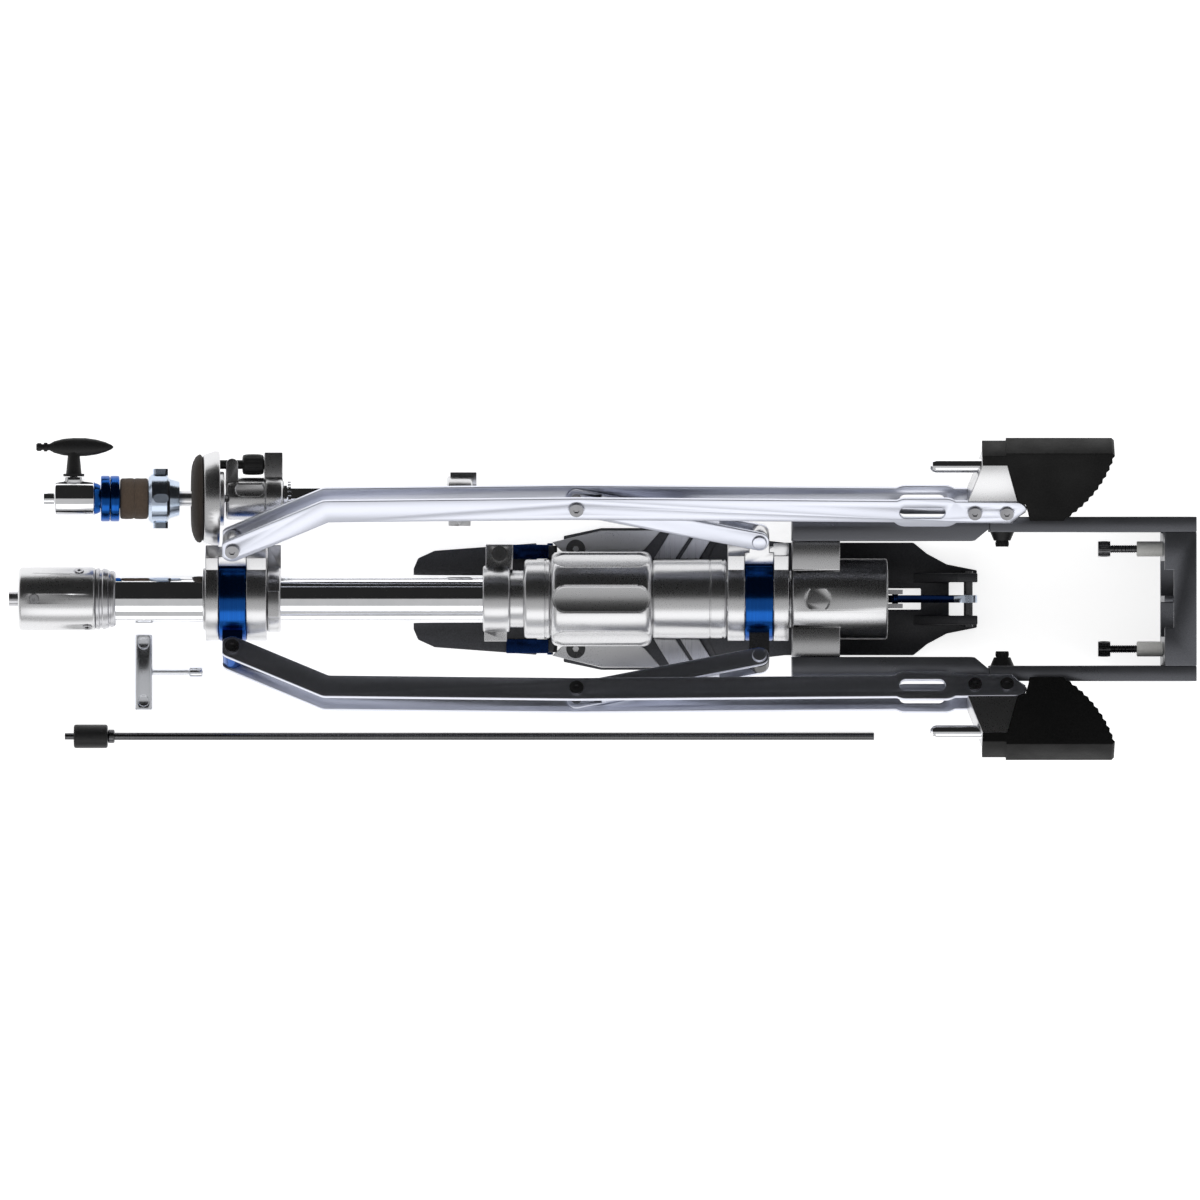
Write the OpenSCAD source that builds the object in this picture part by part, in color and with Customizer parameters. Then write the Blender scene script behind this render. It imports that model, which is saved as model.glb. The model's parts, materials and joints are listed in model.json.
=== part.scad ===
// Hi-hat stand, folded flat and taken apart for its case.
// Stations run along the column from the tip of the pull rod (0) to the foot (column_l).
// Radial places are measured from the axis of the base tube.

/* [Base tube] */
// Outer diameter of the base tube
tube_d = 31.8; // [28:0.1:36]
// Wall of the base tube
tube_wall = 1.6; // [1.2:0.1:2.5]
// Radial play of parts that turn or slide on a shaft
run_play = 0.05; // [0.02:0.01:0.1]
// Gap between parts that pass each other
gap = 0.3; // [0.3:0.05:0.6]

/* [Top barrel] */
// How far the rod tip stands out of the barrel
tip_out = 6.6; // [2:0.1:15]
// Length of the satin barrel
barrel_l = 50.8; // [40:0.1:70]
// Diameter of the satin barrel
barrel_d = 42; // [40:0.1:50]
// Length of the dark tapered collar below the barrel
barrel_collar_l = 13.2; // [8:0.1:20]
// Depth of the barrel that holds the base tube
barrel_grip = 12; // [8:0.5:16]

/* [Upper tube and rods] */
// Outer diameter of the upper tube
upper_d = 19.1; // [16:0.1:22]
// Wall of the upper tube
upper_wall = 1.2; // [1:0.1:2]
// Length of the upper tube below its end ring
upper_l = 412; // [300:1:500]
// Diameter of the pull rods
rod_d = 6; // [5:0.1:8]
// Diameter of the tip of the lower pull rod
tip_d = 10; // [8:0.1:12]
// Length of the loose upper pull rod
upper_rod_l = 536; // [400:1:600]
// Travel of the pedal at the pull rod
pull_travel = 35; // [20:1:40]

/* [Leg collar] */
// Bare tube between the barrel and the leg collar
collar_gap = 59.4; // [40:0.1:90]
// Outer radius of the collar rings
ring_r = 27.7; // [26:0.1:32]
// Length of the first flange of the leg collar
upper_flange_a = 8.6; // [5:0.1:12]
// Length of the blue ring of the leg collar
upper_ring_l = 18.5; // [15:0.1:24]
// Length of the second flange of the leg collar
upper_flange_b = 13.2; // [8:0.1:18]
// Length of the clamp at the end of the leg collar
clamp_l = 9.2; // [6:0.1:14]
// Travel of the leg collar from folded to open
collar_travel = 132; // [110:1:134]
// Wall of the bush inside the leg collar
bush_wall = 2.5; // [1.5:0.1:3.5]
// Radius of the leg pivots
upper_pivot_r = 41.2; // [40:0.1:46]

/* [Stop ring and spring housing] */
// Length of the stop ring
stop_l = 17.9; // [12:0.1:24]
// Outer radius of the stop ring
stop_r = 22; // [20:0.1:25]
// Length of the neck between the stop ring and the housing
neck_l = 9.2; // [6:0.1:14]
// Length of the cap ring of the housing
cap_l = 17.8; // [10:0.1:24]
// Length of the tension dial
dial_l = 66.7; // [50:0.1:80]
// Radius of the tension dial
dial_r = 31.3; // [30:0.1:36]
// Length of the lower part of the housing
housing_l = 49.5; // [40:0.1:60]
// Radius of the housing
housing_r = 26; // [25.5:0.1:28]
// Wire of the return spring
spring_wire = 3.2; // [2:0.1:3.6]
// Turns of the return spring
spring_turns = 12; // [8:1:14]

/* [Lower collar] */
// Length of the first flange of the lower collar
lower_flange_a = 11.3; // [8:0.1:16]
// Length of the blue ring of the lower collar
lower_ring_l = 19.1; // [15:0.1:24]
// Length of the second flange of the lower collar
lower_flange_b = 9.9; // [6:0.1:14]
// Radius of the brace pivots
lower_pivot_r = 46.2; // [45:0.1:50]

/* [Base casting and frame] */
// Distance from the lower collar to the base casting
cast_gap = 2.1; // [1:0.1:4]
// Length of the base casting
cast_l = 63.3; // [50:0.1:80]
// Radius of the base casting
cast_r = 26.7; // [26:0.1:30]
// Length of the wings of the base casting
wing_l = 31.7; // [20:0.1:45]
// Inner half width between the side plates
frame_in = 38.3; // [37:0.1:40]
// Width of a side plate across its flanges
side_w = 13.2; // [10:0.1:14]
// Length of the side plates
side_l = 130; // [110:1:150]
// Depth of the side plates
side_h = 56; // [50:1:60]
// Sheet of the frame
sheet = 3; // [2:0.1:4]
// Length of the lower frame below the side plates
lower_frame_l = 135.8; // [120:0.1:150]
// Width of a bar of the lower frame
lower_bar_w = 10; // [9:0.1:13]
// Depth of the foot plate along the column
foot_plate_l = 21; // [16:0.1:30]

/* [Legs] */
// Angle of the legs towards the front
leg_raise = 28; // [20:1:34]
// Distance from the leg pivot to the brace pivot
leg_mid_l = 228.8; // [200:0.1:240]
// How far the folded legs lie outside the lower frame, at the brace pivot
leg_out = 18; // [16:0.1:22]
// Width of a leg bar
bar_w = 15.8; // [12:0.1:18]
// Thickness of a leg bar
bar_t = 3; // [2:0.1:4]
// Free space between the two bars of a leg
bar_space = 15; // [14:0.1:18]
// Length of a leg past the brace pivot
leg_end_l = 288.5; // [270:0.1:300]
// Width of a brace
brace_w = 12.8; // [10:0.1:14]
// Thickness of a brace plate
brace_t = 2.5; // [2:0.1:3]
// Radius of the spur in a foot
spur_r = 99; // [96:0.1:104]
// Diameter of the spur in a foot
spur_d = 9; // [6:0.1:10]
// Width of a rubber foot
foot_w = 23; // [22:0.1:28]

/* [Footboard] */
// Half width of the footboard
board_half = 47; // [40:0.1:50]
// Thickness of the footboard
board_t = 10.4; // [8:0.1:11]
// Length of the heel plate up to the heel hinge
heel_l = 90.4; // [80:0.1:100]
// Length of the footboard from the heel hinge to the toe axle
board_l = 276.6; // [270:0.1:285]
// Reach of the direct link past the base casting
link_reach = 53.8; // [50:0.1:58]
// Height of the toe axle over the floor
toe_h = 22; // [18:0.1:24]

/* [Upper section] */
// Distance of the upper section from the column
upper_y = 66.3; // [64:0.1:76]
// Radius of the seat cup
seat_r = 31.4; // [28:0.1:34]
// Radius of the spout of the seat
spout_r = 5; // [4:0.1:6]
// Station of the outer face of the seat felt
felt_s = 120; // [118:0.1:124]
// Distance from the tube's end ring to the memory lock
lock_reach = 115.7; // [80:0.1:140]
// Radius of the clutch body
clutch_r = 12.6; // [11:0.1:15]
// Radius of the bottom nut of the clutch
nut_r = 16.2; // [14:0.1:18]

/* [Hidden] */
$fn = 64;
eps = 0.01;

// Stations along the column
barrel_s = tip_out;
barrel_e = barrel_s + barrel_l;
barrel_collar_e = barrel_e + barrel_collar_l;
tube_s = barrel_e - barrel_grip;
collar_s = barrel_collar_e + collar_gap;
upper_ring_s = collar_s + upper_flange_a;
upper_ring_e = upper_ring_s + upper_ring_l;
sleeve_s = upper_ring_e + upper_flange_b;
collar_e = sleeve_s + clamp_l;
stop_s = collar_e + collar_travel + 4 * gap;
stop_e = stop_s + stop_l;
cap_s = stop_e + neck_l;
dial_s = cap_s + cap_l;
dial_e = dial_s + dial_l;
housing_e = dial_e + housing_l;
lower_s = housing_e + gap;
lower_ring_s = lower_s + lower_flange_a;
lower_ring_e = lower_ring_s + lower_ring_l;
lower_e = lower_ring_e + lower_flange_b;
cast_s = lower_e + cast_gap;
cast_e = cast_s + cast_l;
side_e = cast_s + side_l;
column_l = side_e + lower_frame_l;
foot_plate_s = column_l - foot_plate_l;
toe_s = cast_e + link_reach;
heel_hinge_s = toe_s - board_l;
heel_s = heel_hinge_s - heel_l;

// Heights and radii that follow
tube_r = tube_d / 2;
board_top = board_t;
axis_h = board_top + gap + dial_r;
bush_r = tube_r + run_play + bush_wall;
frame_out = frame_in + side_w;
bar_out = frame_out + 2.6;
bar_in = bar_out - lower_bar_w;
leg_mid_r = bar_out + leg_out;
toe_z = toe_h - axis_h;
board_z = -axis_h;

// Fold of the legs: a slider and two links in one plane
upper_pivot_s = (upper_ring_s + upper_ring_e) / 2;
lower_pivot_s = (lower_ring_s + lower_ring_e) / 2;
leg_rest = asin((leg_mid_r - upper_pivot_r) / leg_mid_l);
leg_mid_s = upper_pivot_s + leg_mid_l * cos(leg_rest);
brace_dx = lower_pivot_s - leg_mid_s;
brace_dr = leg_mid_r - lower_pivot_r;
brace_l = norm([brace_dx, brace_dr]);
brace_rest = atan2(brace_dr, brace_dx);
function pivot_span(s) = norm([lower_pivot_s - upper_pivot_s - s, lower_pivot_r - upper_pivot_r]);
function pivot_tilt(s) = atan2(lower_pivot_r - upper_pivot_r, lower_pivot_s - upper_pivot_s - s);
function corner(a, b, c) = acos((a * a + b * b - c * c) / (2 * a * b));
function leg_angle(s) = corner(leg_mid_l, pivot_span(s), brace_l) + pivot_tilt(s);
function brace_angle(s) = corner(brace_l, pivot_span(s), leg_mid_l) - pivot_tilt(s);
leg_swing = leg_angle(collar_travel) - leg_rest;
brace_swing = brace_angle(collar_travel) - brace_rest;
echo(leg_swing_deg = leg_swing, brace_swing_deg = brace_swing);
echo(upper_pivot = upper_pivot_s, lower_pivot = lower_pivot_s, mid = leg_mid_s, axis = axis_h);
echo(column = column_l, toe_z = toe_z);

// Moves a piece from stations to the model's own frame
module placed() translate([-column_l / 2, 0, axis_h]) children();

// A round piece along the column, from station a to station b
module along(a, b, r, bore = 0)
    translate([a, 0, 0])
    rotate([0, 90, 0])
    difference() {
        cylinder(h = b - a, r = r);
        if (bore > 0) translate([0, 0, -1]) cylinder(h = b - a + 2, r = bore);
    }

// A turned piece along the column; points are [station, radius]
module turned(points) rotate([90, 0, 90]) rotate_extrude() polygon([for (p = points) [p[1], p[0]]]);

// A turned tube with rounded outer edges
module soft_ring(a, b, r, bore, e = 1.2)
    turned([
        [a, bore], [a, r - e], [a + 0.3 * e, r - 0.3 * e], [a + e, r],
        [b - e, r], [b - 0.3 * e, r - 0.3 * e], [b, r - e], [b, bore]
    ]);

// A flat bar with round ends between two points of a plane
module slab(p, q, w) {
    d = q - p;
    translate(p) circle(d = w);
    translate(q) circle(d = w);
    translate(p) rotate(atan2(d[1], d[0])) translate([0, eps - w / 2]) square([norm(d), w - 2 * eps]);
}

// The left side as drawn, or its mirror image on the right
module on_side(side) mirror([0, side < 0 ? 1 : 0, 0]) children();

// The plane of a leg: x is the station, y the radius, z goes across
module leg_plane() rotate([leg_raise, 0, 0]) children();

// A hexagonal or round pin across the leg plane
module across(s, r, from, to, rad, fn = 32)
    translate([s, r, from]) cylinder(h = to - from, r = rad, $fn = fn);

// Column

module base_tube() color("gainsboro") placed() difference() {
    along(tube_s, cast_e - 6, tube_r, tube_r - tube_wall);
    // slots for the cross pin that carries the spring
    translate([pin_s - slot_w / 2, -tube_r - 1, -slot_w / 2])
        cube([pull_travel + slot_w, tube_d + 2, slot_w]);
}
slot_w = 6;
pin_s = dial_s + 9;

module top_barrel() color("silver") placed() difference() {
    soft_ring(barrel_s, barrel_e, barrel_d / 2, upper_d / 2 + 0.2, 2);
    translate([tube_s, 0, 0]) rotate([0, 90, 0]) cylinder(h = barrel_l, r = tube_r + run_play);
    for (p = barrel_screw_places)
        translate([p[0], 0, 0]) rotate([p[1], 0, 0]) cylinder(h = barrel_d, r = screw_r);
}
screw_r = 3;
barrel_screw_places = [[barrel_s + 10.6, 0], [barrel_s + 40, -62], [barrel_e - 5.5, 62]];

module barrel_screws() color("dimgray") placed()
    for (p = barrel_screw_places)
        translate([p[0], 0, 0]) rotate([p[1], 0, 0])
        translate([0, 0, tube_r + 1])
        difference() {
            cylinder(h = barrel_d / 2 - tube_r - 0.5, r = screw_r - run_play);
            translate([0, 0, barrel_d / 2 - tube_r - 2.5]) cylinder(h = 3, r = 1.6, $fn = 4);
        }

module barrel_collar() color("dimgray") placed()
    turned([
        [barrel_e + eps, tube_r + run_play], [barrel_e + eps, barrel_d / 2 - 1],
        [barrel_e + 6, barrel_d / 2 - 0.4], [barrel_collar_e - 3, tube_r + 3.5],
        [barrel_collar_e, tube_r + 2], [barrel_collar_e, tube_r + run_play]
    ]);

module rod_bush() color("white") placed()
    along(cast_e - 24, cast_e - 8, tube_r - tube_wall - run_play, rod_d / 2 + run_play);

ear_y = 36;
ear_in = tube_r + 3 + gap;
module stop_ring() color("silver") placed() difference() {
    union() {
        soft_ring(stop_s, stop_e, stop_r, tube_r + run_play);
        translate([stop_s + 2, ear_in, -6]) cube([stop_l, ear_y - ear_in, 12]);
        translate([stop_s + 1, -28, -5]) cube([stop_l - 3, 11, 10]);
    }
    along(stop_s - 1, column_l, tube_r + run_play);
    translate([stop_s - 1, stop_r, -0.8]) cube([stop_l + 6, 20, 1.6]);
    translate([stop_s + 11, ear_y - 6, -20]) cylinder(h = 40, r = 2.6);
}

module stop_ring_screw() color("black") placed()
    translate([stop_s + 11, ear_y - 6, 0]) {
        translate([0, 0, -9]) cylinder(h = 18, r = 2.6 - run_play);
        translate([0, 0, 6 + eps]) difference() {
            cylinder(h = 4, r = 5);
            translate([0, 0, 1.5]) cylinder(h = 3, r = 2.6, $fn = 6);
        }
        translate([0, 0, -10]) cylinder(h = 4 - eps, r = 5, $fn = 6);
    }

module cap_ring() color("gainsboro") placed() difference() {
    union() {
        along(stop_e + eps, cap_s + eps, tube_r + 3);
        soft_ring(cap_s, dial_s - gap, housing_r, tube_r + run_play);
        along(dial_s - gap - eps, dial_s + 3, housing_r - 2);
    }
    along(stop_s, column_l, tube_r + run_play);
    along(dial_s - 2, column_l, housing_r - 4);
}

module spring_housing() color("gainsboro") placed() difference() {
    union() {
        soft_ring(dial_e + gap, housing_e, housing_r, tube_r + run_play);
        along(dial_s + 3 + eps, dial_e + 2, housing_r - 2);
    }
    along(stop_s, column_l, tube_r + run_play);
    along(dial_s, spring_e, housing_r - 4);
    translate([housing_e - 3, 0, 0]) rotate([0, 90, 0])
        difference() {
            cylinder(h = 1, r = housing_r + 1);
            cylinder(h = 1, r = housing_r - 0.8);
        }
}
spring_s = pin_s + 4;
spring_e = housing_e - 8;
spring_r = (tube_r + housing_r - 4) / 2;

module tension_dial() color("gainsboro") placed() difference() {
    turned([
        [dial_s, housing_r - 2 + run_play], [dial_s, dial_r - 5], [dial_s + 0.8, dial_r - 2.4],
        [dial_s + 2.4, dial_r - 0.8], [dial_s + 5, dial_r], [dial_e - 5, dial_r],
        [dial_e - 2.4, dial_r - 0.8], [dial_e - 0.8, dial_r - 2.4], [dial_e, dial_r - 5],
        [dial_e, housing_r - 2 + run_play]
    ]);
    for (a = [0 : 60 : 300])
        rotate([a, 0, 0])
        translate([0, 0, dial_r - 2.2])
        linear_extrude(6)
        slab([dial_s + 10, 0], [dial_e - 10, 0], 17);
}

module base_casting() color("silver") placed() difference() {
    union() {
        soft_ring(cast_s, cast_e, cast_r, tube_r + run_play, 1.5);
        along(lower_e + gap, cast_s + 1, tube_r + 3);
        for (side = [1, -1]) on_side(side)
            translate([cast_s, tube_r + 3, -wing_h / 2]) cube([wing_l, frame_in - tube_r - 3, wing_h]);
    }
    along(lower_e, cast_e + 1, tube_r + run_play);
    for (x = wing_bolts, y = [-1, 1])
        translate([x, y * (frame_in + 1), 0]) rotate([y * 90, 0, 0]) cylinder(h = 8, r = 2.5);
    // a shallow bare round on the front
    translate([cast_s + 17, 0, cast_r - 1]) cylinder(h = 4, r = 8.5);
}
wing_h = 40;
wing_bolts = [cast_s + 8, cast_s + wing_l - 8];

// A channel of the frame, open towards the column
module side_plate() difference() {
    translate([cast_s, frame_in, -side_h / 2]) cube([side_l, side_w, side_h]);
    translate([cast_s - 1, frame_in - 1, -side_h / 2 + sheet])
        cube([side_l + 2, side_w - sheet + 1, side_h - 2 * sheet]);
    // flanges tapered towards the lower frame
    translate([0, 0, -side_h]) linear_extrude(2 * side_h)
        polygon([[side_e - 11, frame_in - 1], [side_e + 1, frame_in - 1], [side_e + 1, frame_in + 9]]);
}
module side_plate_body() difference() {
    union() {
        side_plate();
        // pad that meets the wing
        translate([cast_s, frame_in, -wing_h / 2]) cube([wing_l, side_w - sheet, wing_h]);
        // tongue that the hand nut holds
        translate([side_e - 14, frame_out - sheet - tongue_t, -12])
            cube([14 + tongue_l, tongue_t, 24]);
    }
    for (x = wing_bolts)
        translate([x, frame_in - 1, 0]) rotate([-90, 0, 0]) cylinder(h = side_w + 2, r = 2.5);
    translate([nut_s, frame_in - 1, 0]) rotate([-90, 0, 0]) cylinder(h = side_w + 2, r = 3);
}
tongue_t = 3;
tongue_l = 16;
nut_s = side_e + 9;
module side_plate_left() color("darkgray") placed() side_plate_body();
module side_plate_right() color("darkgray") placed() on_side(-1) side_plate_body();

module frame_screws() color("dimgray") placed()
    for (x = wing_bolts, side = [1, -1]) on_side(side) {
        translate([x, frame_in - 6, 0]) rotate([-90, 0, 0])
            cylinder(h = side_w + 6, r = 2.5 - run_play);
        translate([x, frame_out + eps, 0]) rotate([-90, 0, 0]) difference() {
            cylinder(h = 2, r = 4.5);
            translate([0, 0, 0.8]) cylinder(h = 3, r = 2.2, $fn = 6);
        }
    }

// Bar of the lower frame, flared towards the foot
bar_s = side_e + gap;
flare_s = side_e + 50;
module bar_outline(inset)
    polygon([
        [bar_s + inset, -side_h / 2 + inset], [flare_s, -side_h / 2 + inset],
        [column_l - 30, -axis_h + inset], [column_l - inset, -axis_h + inset],
        [column_l - inset, axis_h - inset], [column_l - 30, axis_h - inset],
        [flare_s, side_h / 2 - inset], [bar_s + inset, side_h / 2 - inset]
    ]);
module lower_bar() difference() {
    translate([0, bar_out, 0]) rotate([90, 0, 0]) linear_extrude(lower_bar_w) bar_outline(0);
    translate([0, bar_out - sheet, 0]) rotate([90, 0, 0])
        linear_extrude(lower_bar_w) bar_outline(sheet);
    translate([bar_s - 1, 0, -12 - gap]) cube([sheet + 2, frame_out - sheet + gap, 24 + 2 * gap]);
    translate([nut_s, frame_in, 0]) rotate([-90, 0, 0]) cylinder(h = side_w + 5, r = 3);
}
module lower_frame_left() color("darkgray") placed() lower_bar();
module lower_frame_right() color("darkgray") placed() on_side(-1) lower_bar();

// Hand nut: its bolt runs through the bar and the tongue
module frame_nuts() color("black") placed() for (side = [1, -1]) on_side(side)
    translate([nut_s, 0, 0]) {
        translate([0, frame_in - 2, 0]) rotate([-90, 0, 0])
            cylinder(h = side_w + 4.6, r = 3 - run_play);
        translate([0, frame_out - sheet - tongue_t - eps, 0]) rotate([90, 0, 0])
            cylinder(h = 7, r1 = 8.5, r2 = 5.5);
        translate([0, frame_out - sheet - tongue_t - 7, 0]) rotate([90, 0, 0])
            cylinder(h = 4, r = 4);
        translate([0, frame_out - sheet + eps, 0]) rotate([-90, 0, 0])
            cylinder(h = 2.6 - 2 * eps, r = 5.4);
    }

anchor_y = 33;
module foot_plate() color("darkgray") placed() difference() {
    union() {
        translate([foot_plate_s, eps - bar_in, -axis_h])
            cube([foot_plate_l, 2 * (bar_in - eps), 2 * axis_h]);
        for (side = [1, -1]) on_side(side) {
            // lugs in the bars
            translate([foot_plate_s + 4, frame_in, -axis_h + sheet + eps])
                cube([foot_plate_l - 4 - sheet - eps, bar_out - sheet - eps - frame_in,
                    2 * axis_h - 2 * sheet - 2 * eps]);
            translate([foot_plate_s - 17, anchor_y, 0]) rotate([0, 90, 0]) cylinder(h = 18, r = 5);
        }
    }
    // two hollows, open towards the column, with a middle web
    for (side = [1, -1]) on_side(side)
        translate([foot_plate_s - 1, 2, -axis_h + 5])
            cube([foot_plate_l - 4, 23, 2 * axis_h - 10]);
    // notch for the heel bar on the front edge
    translate([foot_plate_s - 1, -19, axis_h - 6]) cube([7, 38, 8]);
    for (side = [1, -1])
        translate([foot_plate_s - 20, side * anchor_y, 0]) rotate([0, 90, 0])
            cylinder(h = 60, r = 2.3 + run_play);
}

module anchor_spur(side) placed() translate([0, side * anchor_y, 0]) {
    along(foot_plate_s - 42.5, foot_plate_s - 34.5, 5);
    along(foot_plate_s - 34.6, column_l - 8, 2.3);
    turned([[column_l - 8.01, 0], [column_l - 8.01, 2.3], [column_l - 5, 2.3], [column_l - 0.5, 0.4],
        [column_l - 0.5, 0]]);
}
module anchor_spur_left() color("black") anchor_spur(1);
module anchor_spur_right() color("black") anchor_spur(-1);

// Pull rod and pedal

link_s = cast_e + 5;
tip_l = 6.3;
module lower_rod() color("silver") placed() difference() {
    union() {
        // threaded tip: a full head, then a thinner shaft inside the barrel
        along(0, tip_l, tip_d / 2);
        along(tip_l - eps, 34, tip_d / 2 - 0.6);
        along(33, cast_e - 4, rod_d / 2);
        along(cast_e - 5, cast_e - gap, 6);
        // cross pin and ring that press the spring
        translate([pin_s, 0, 0]) rotate([90, 0, 0])
            translate([0, 0, -tube_r - 2]) cylinder(h = tube_d + 4, r = slot_w / 2 - gap);
        along(pin_s - 2, pin_s + 3, housing_r - 4 - gap, tube_r + gap);
        // fork for the link
        for (side = [1, -1])
            translate([cast_e - 1, side > 0 ? 3.1 : -6.1, -4]) cube([11, 3, 8]);
    }
    translate([link_s, 0, 0]) rotate([90, 0, 0])
        translate([0, 0, -10]) cylinder(h = 20, r = 2 + run_play);
}

// Return spring: one tube along a helix
spring_rings = 8;
spring_pitch = (spring_e - spring_s - spring_wire - 2 * gap) / spring_turns;
function coil_point(t) = [
    spring_s + gap + spring_wire / 2 + t * spring_pitch,
    spring_r * cos(360 * t), spring_r * sin(360 * t)
];
function ring_at(t) = [
    for (k = [0 : 5]) let (c = coil_point(t), a = 360 * k / 6,
        n = [0, cos(360 * t), sin(360 * t)])
    c + spring_wire / 2 * (cos(a) * n + sin(a) * [1, 0, 0])
];
spring_steps = spring_turns * spring_rings;
module return_spring() color("silver") placed()
    polyhedron(
        points = [for (i = [0 : spring_steps]) each ring_at(i / spring_rings)],
        faces = concat(
            [for (i = [0 : spring_steps - 1], k = [0 : 5]) let (j = (k + 1) % 6)
                each [[6 * i + k, 6 * i + j, 6 * i + 6 + k], [6 * i + j, 6 * i + 6 + j, 6 * i + 6 + k]]],
            [for (k = [1 : 4]) [0, k + 1, k]],
            [for (k = [1 : 4]) [6 * spring_steps, 6 * spring_steps + k, 6 * spring_steps + k + 1]]
        )
    );
echo(spring_gap = spring_pitch - spring_wire);

link_dx = toe_s - link_s;
module direct_link() color("midnightblue") placed() {
    translate([0, 2.5, 0]) rotate([90, 0, 0]) linear_extrude(5) difference() {
        union() {
            slab([link_s, 0], [toe_s, toe_z], 9);
            translate([toe_s, toe_z]) circle(r = 6);
        }
        translate([toe_s, toe_z]) circle(r = 3 + run_play);
    }
    translate([link_s, 0, 0]) rotate([90, 0, 0]) translate([0, 0, -6.1]) cylinder(h = 12.2, r = 2);
}

board_s = heel_hinge_s - 4;
hinge_h = 5.2;
hinge_r = 4.8;
toe_e = toe_s + 6;
neck_s = toe_s - 36;
widest_s = dial_e + 4;
board_near = frame_in - 1;
module board_plan(inset)
    polygon([
        [board_s + inset, -39 + inset], [heel_hinge_s + 34, -board_half + inset],
        [widest_s, -board_half + inset], [cast_s - 4, -board_near + inset],
        [neck_s, -board_near + inset], [neck_s + 9, -30 + inset],
        [neck_s + 22, -23 + inset], [toe_e - inset, -19 + inset],
        [toe_e - inset, 19 - inset], [neck_s + 22, 23 - inset], [neck_s + 9, 30 - inset],
        [neck_s, board_near - inset], [cast_s - 4, board_near - inset],
        [widest_s, board_half - inset],
        [heel_hinge_s + 34, board_half - inset], [board_s + inset, 39 - inset]
    ]);
module footboard() color("dimgray") placed() difference() {
    union() {
        translate([0, 0, board_z]) linear_extrude(board_t) board_plan(0);
        // raised toe with the ears of the axle
        for (side = [1, -1]) on_side(side)
            translate([0, 17, 0]) rotate([90, 0, 0]) linear_extrude(6)
            polygon([[neck_s, board_z + 4], [toe_e, board_z + 4], [toe_e, toe_z + 6],
                [toe_s - 7, toe_z + 6], [neck_s, board_z + board_t]]);
        // knuckle of the heel hinge
        translate([heel_hinge_s, 26, board_z + hinge_h]) rotate([90, 0, 0]) cylinder(h = 52, r = hinge_r);
    }
    // hollow underside, with a web along the middle
    difference() {
        translate([0, 0, board_z - 1]) linear_extrude(board_t - 3.4) board_plan(4);
        translate([board_s, -2, board_z - 2]) cube([toe_e - board_s, 4, board_t]);
        for (x = [heel_hinge_s + 55 : 45 : toe_s - 60])
            translate([x, -board_half, board_z - 2]) cube([3, 2 * board_half, board_t]);
        translate([board_s, -board_half, board_z - 2]) cube([24, 2 * board_half, board_t]);
        translate([toe_s - 32, -30, board_z - 2]) cube([40, 60, board_t]);
    }
    // fork at the toe and slot for the link
    translate([toe_s - 12.5, -11, board_z - 1]) cube([40, 22, 60]);
    translate([toe_s - 53, -7, board_z - 1]) cube([22, 14, 40]);
    translate([toe_s, 40, toe_z]) rotate([90, 0, 0]) cylinder(h = 80, r = 3);
    // room for the hinge blocks of the heel plate
    for (side = [1, -1]) on_side(side)
        translate([board_s - 1, 26 + gap, board_z - 1]) cube([14, 30, 20]);
    translate([heel_hinge_s, 60, board_z + hinge_h]) rotate([90, 0, 0]) cylinder(h = 120, r = 2 + run_play);
    for (side = [1, -1])
        translate([heel_hinge_s + 17, side * 33, board_z - 1]) cylinder(h = 20, r = 2.5);
    // shallow panel lines on the tread
    for (side = [1, -1], k = [0, 1])
        translate([heel_hinge_s + 62 + 26 * k, 0, board_z + board_t - 0.8])
        rotate([0, 0, side * 62]) translate([4, -2, 0]) cube([48, 4, 2]);
}

module toe_axle() color("black") placed()
    translate([toe_s, 18.5, toe_z]) rotate([90, 0, 0]) cylinder(h = 37, r = 3);

module footboard_screws() color("black") placed()
    for (side = [1, -1]) translate([heel_hinge_s + 17, side * 33, board_z + board_t + eps]) {
        difference() {
            cylinder(h = 2.4, r = 6.3);
            translate([0, 0, 1]) cylinder(h = 3, r = 2.2, $fn = 6);
        }
        translate([0, 0, -7]) cylinder(h = 8, r = 2.5 - run_play);
    }

heel_e = board_s - 5;
module heel_plan(inset)
    polygon([
        [heel_s + inset, -20], [heel_s + 3 + inset, -27 + inset], [heel_s + 14, -32 + inset],
        [heel_e - inset, -37 + inset], [heel_e - inset, 37 - inset], [heel_s + 14, 32 - inset],
        [heel_s + 3 + inset, 27 - inset], [heel_s + inset, 20]
    ]);
module heel_plate() color("dimgray") placed() difference() {
    union() {
        translate([0, 0, board_z]) linear_extrude(board_t) heel_plan(0);
        for (side = [1, -1]) on_side(side)
            translate([0, 26 + 2 * gap, 0]) rotate([90, 0, 0]) translate([0, 0, -9.4 + 2 * gap])
            linear_extrude(9.4 - 2 * gap)
            slab([heel_e - 4, board_z + hinge_h], [heel_hinge_s, board_z + hinge_h], 2 * hinge_r);
    }
    difference() {
        translate([0, 0, board_z - 1]) linear_extrude(board_t - 3.4) heel_plan(4);
        translate([heel_s, -2, board_z - 2]) cube([heel_e - heel_s, 4, board_t]);
        translate([heel_s + 38, -50, board_z - 2]) cube([3, 100, board_t]);
        translate([heel_e - 24, -50, board_z - 2]) cube([24, 100, board_t]);
    }
    translate([heel_hinge_s, 60, board_z + hinge_h]) rotate([90, 0, 0]) cylinder(h = 120, r = 2);
    // ledge along the tread
    translate([heel_s - 1, -14, board_z + board_t - 1]) cube([heel_e - heel_s - 6, 28, 2]);
}

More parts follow.
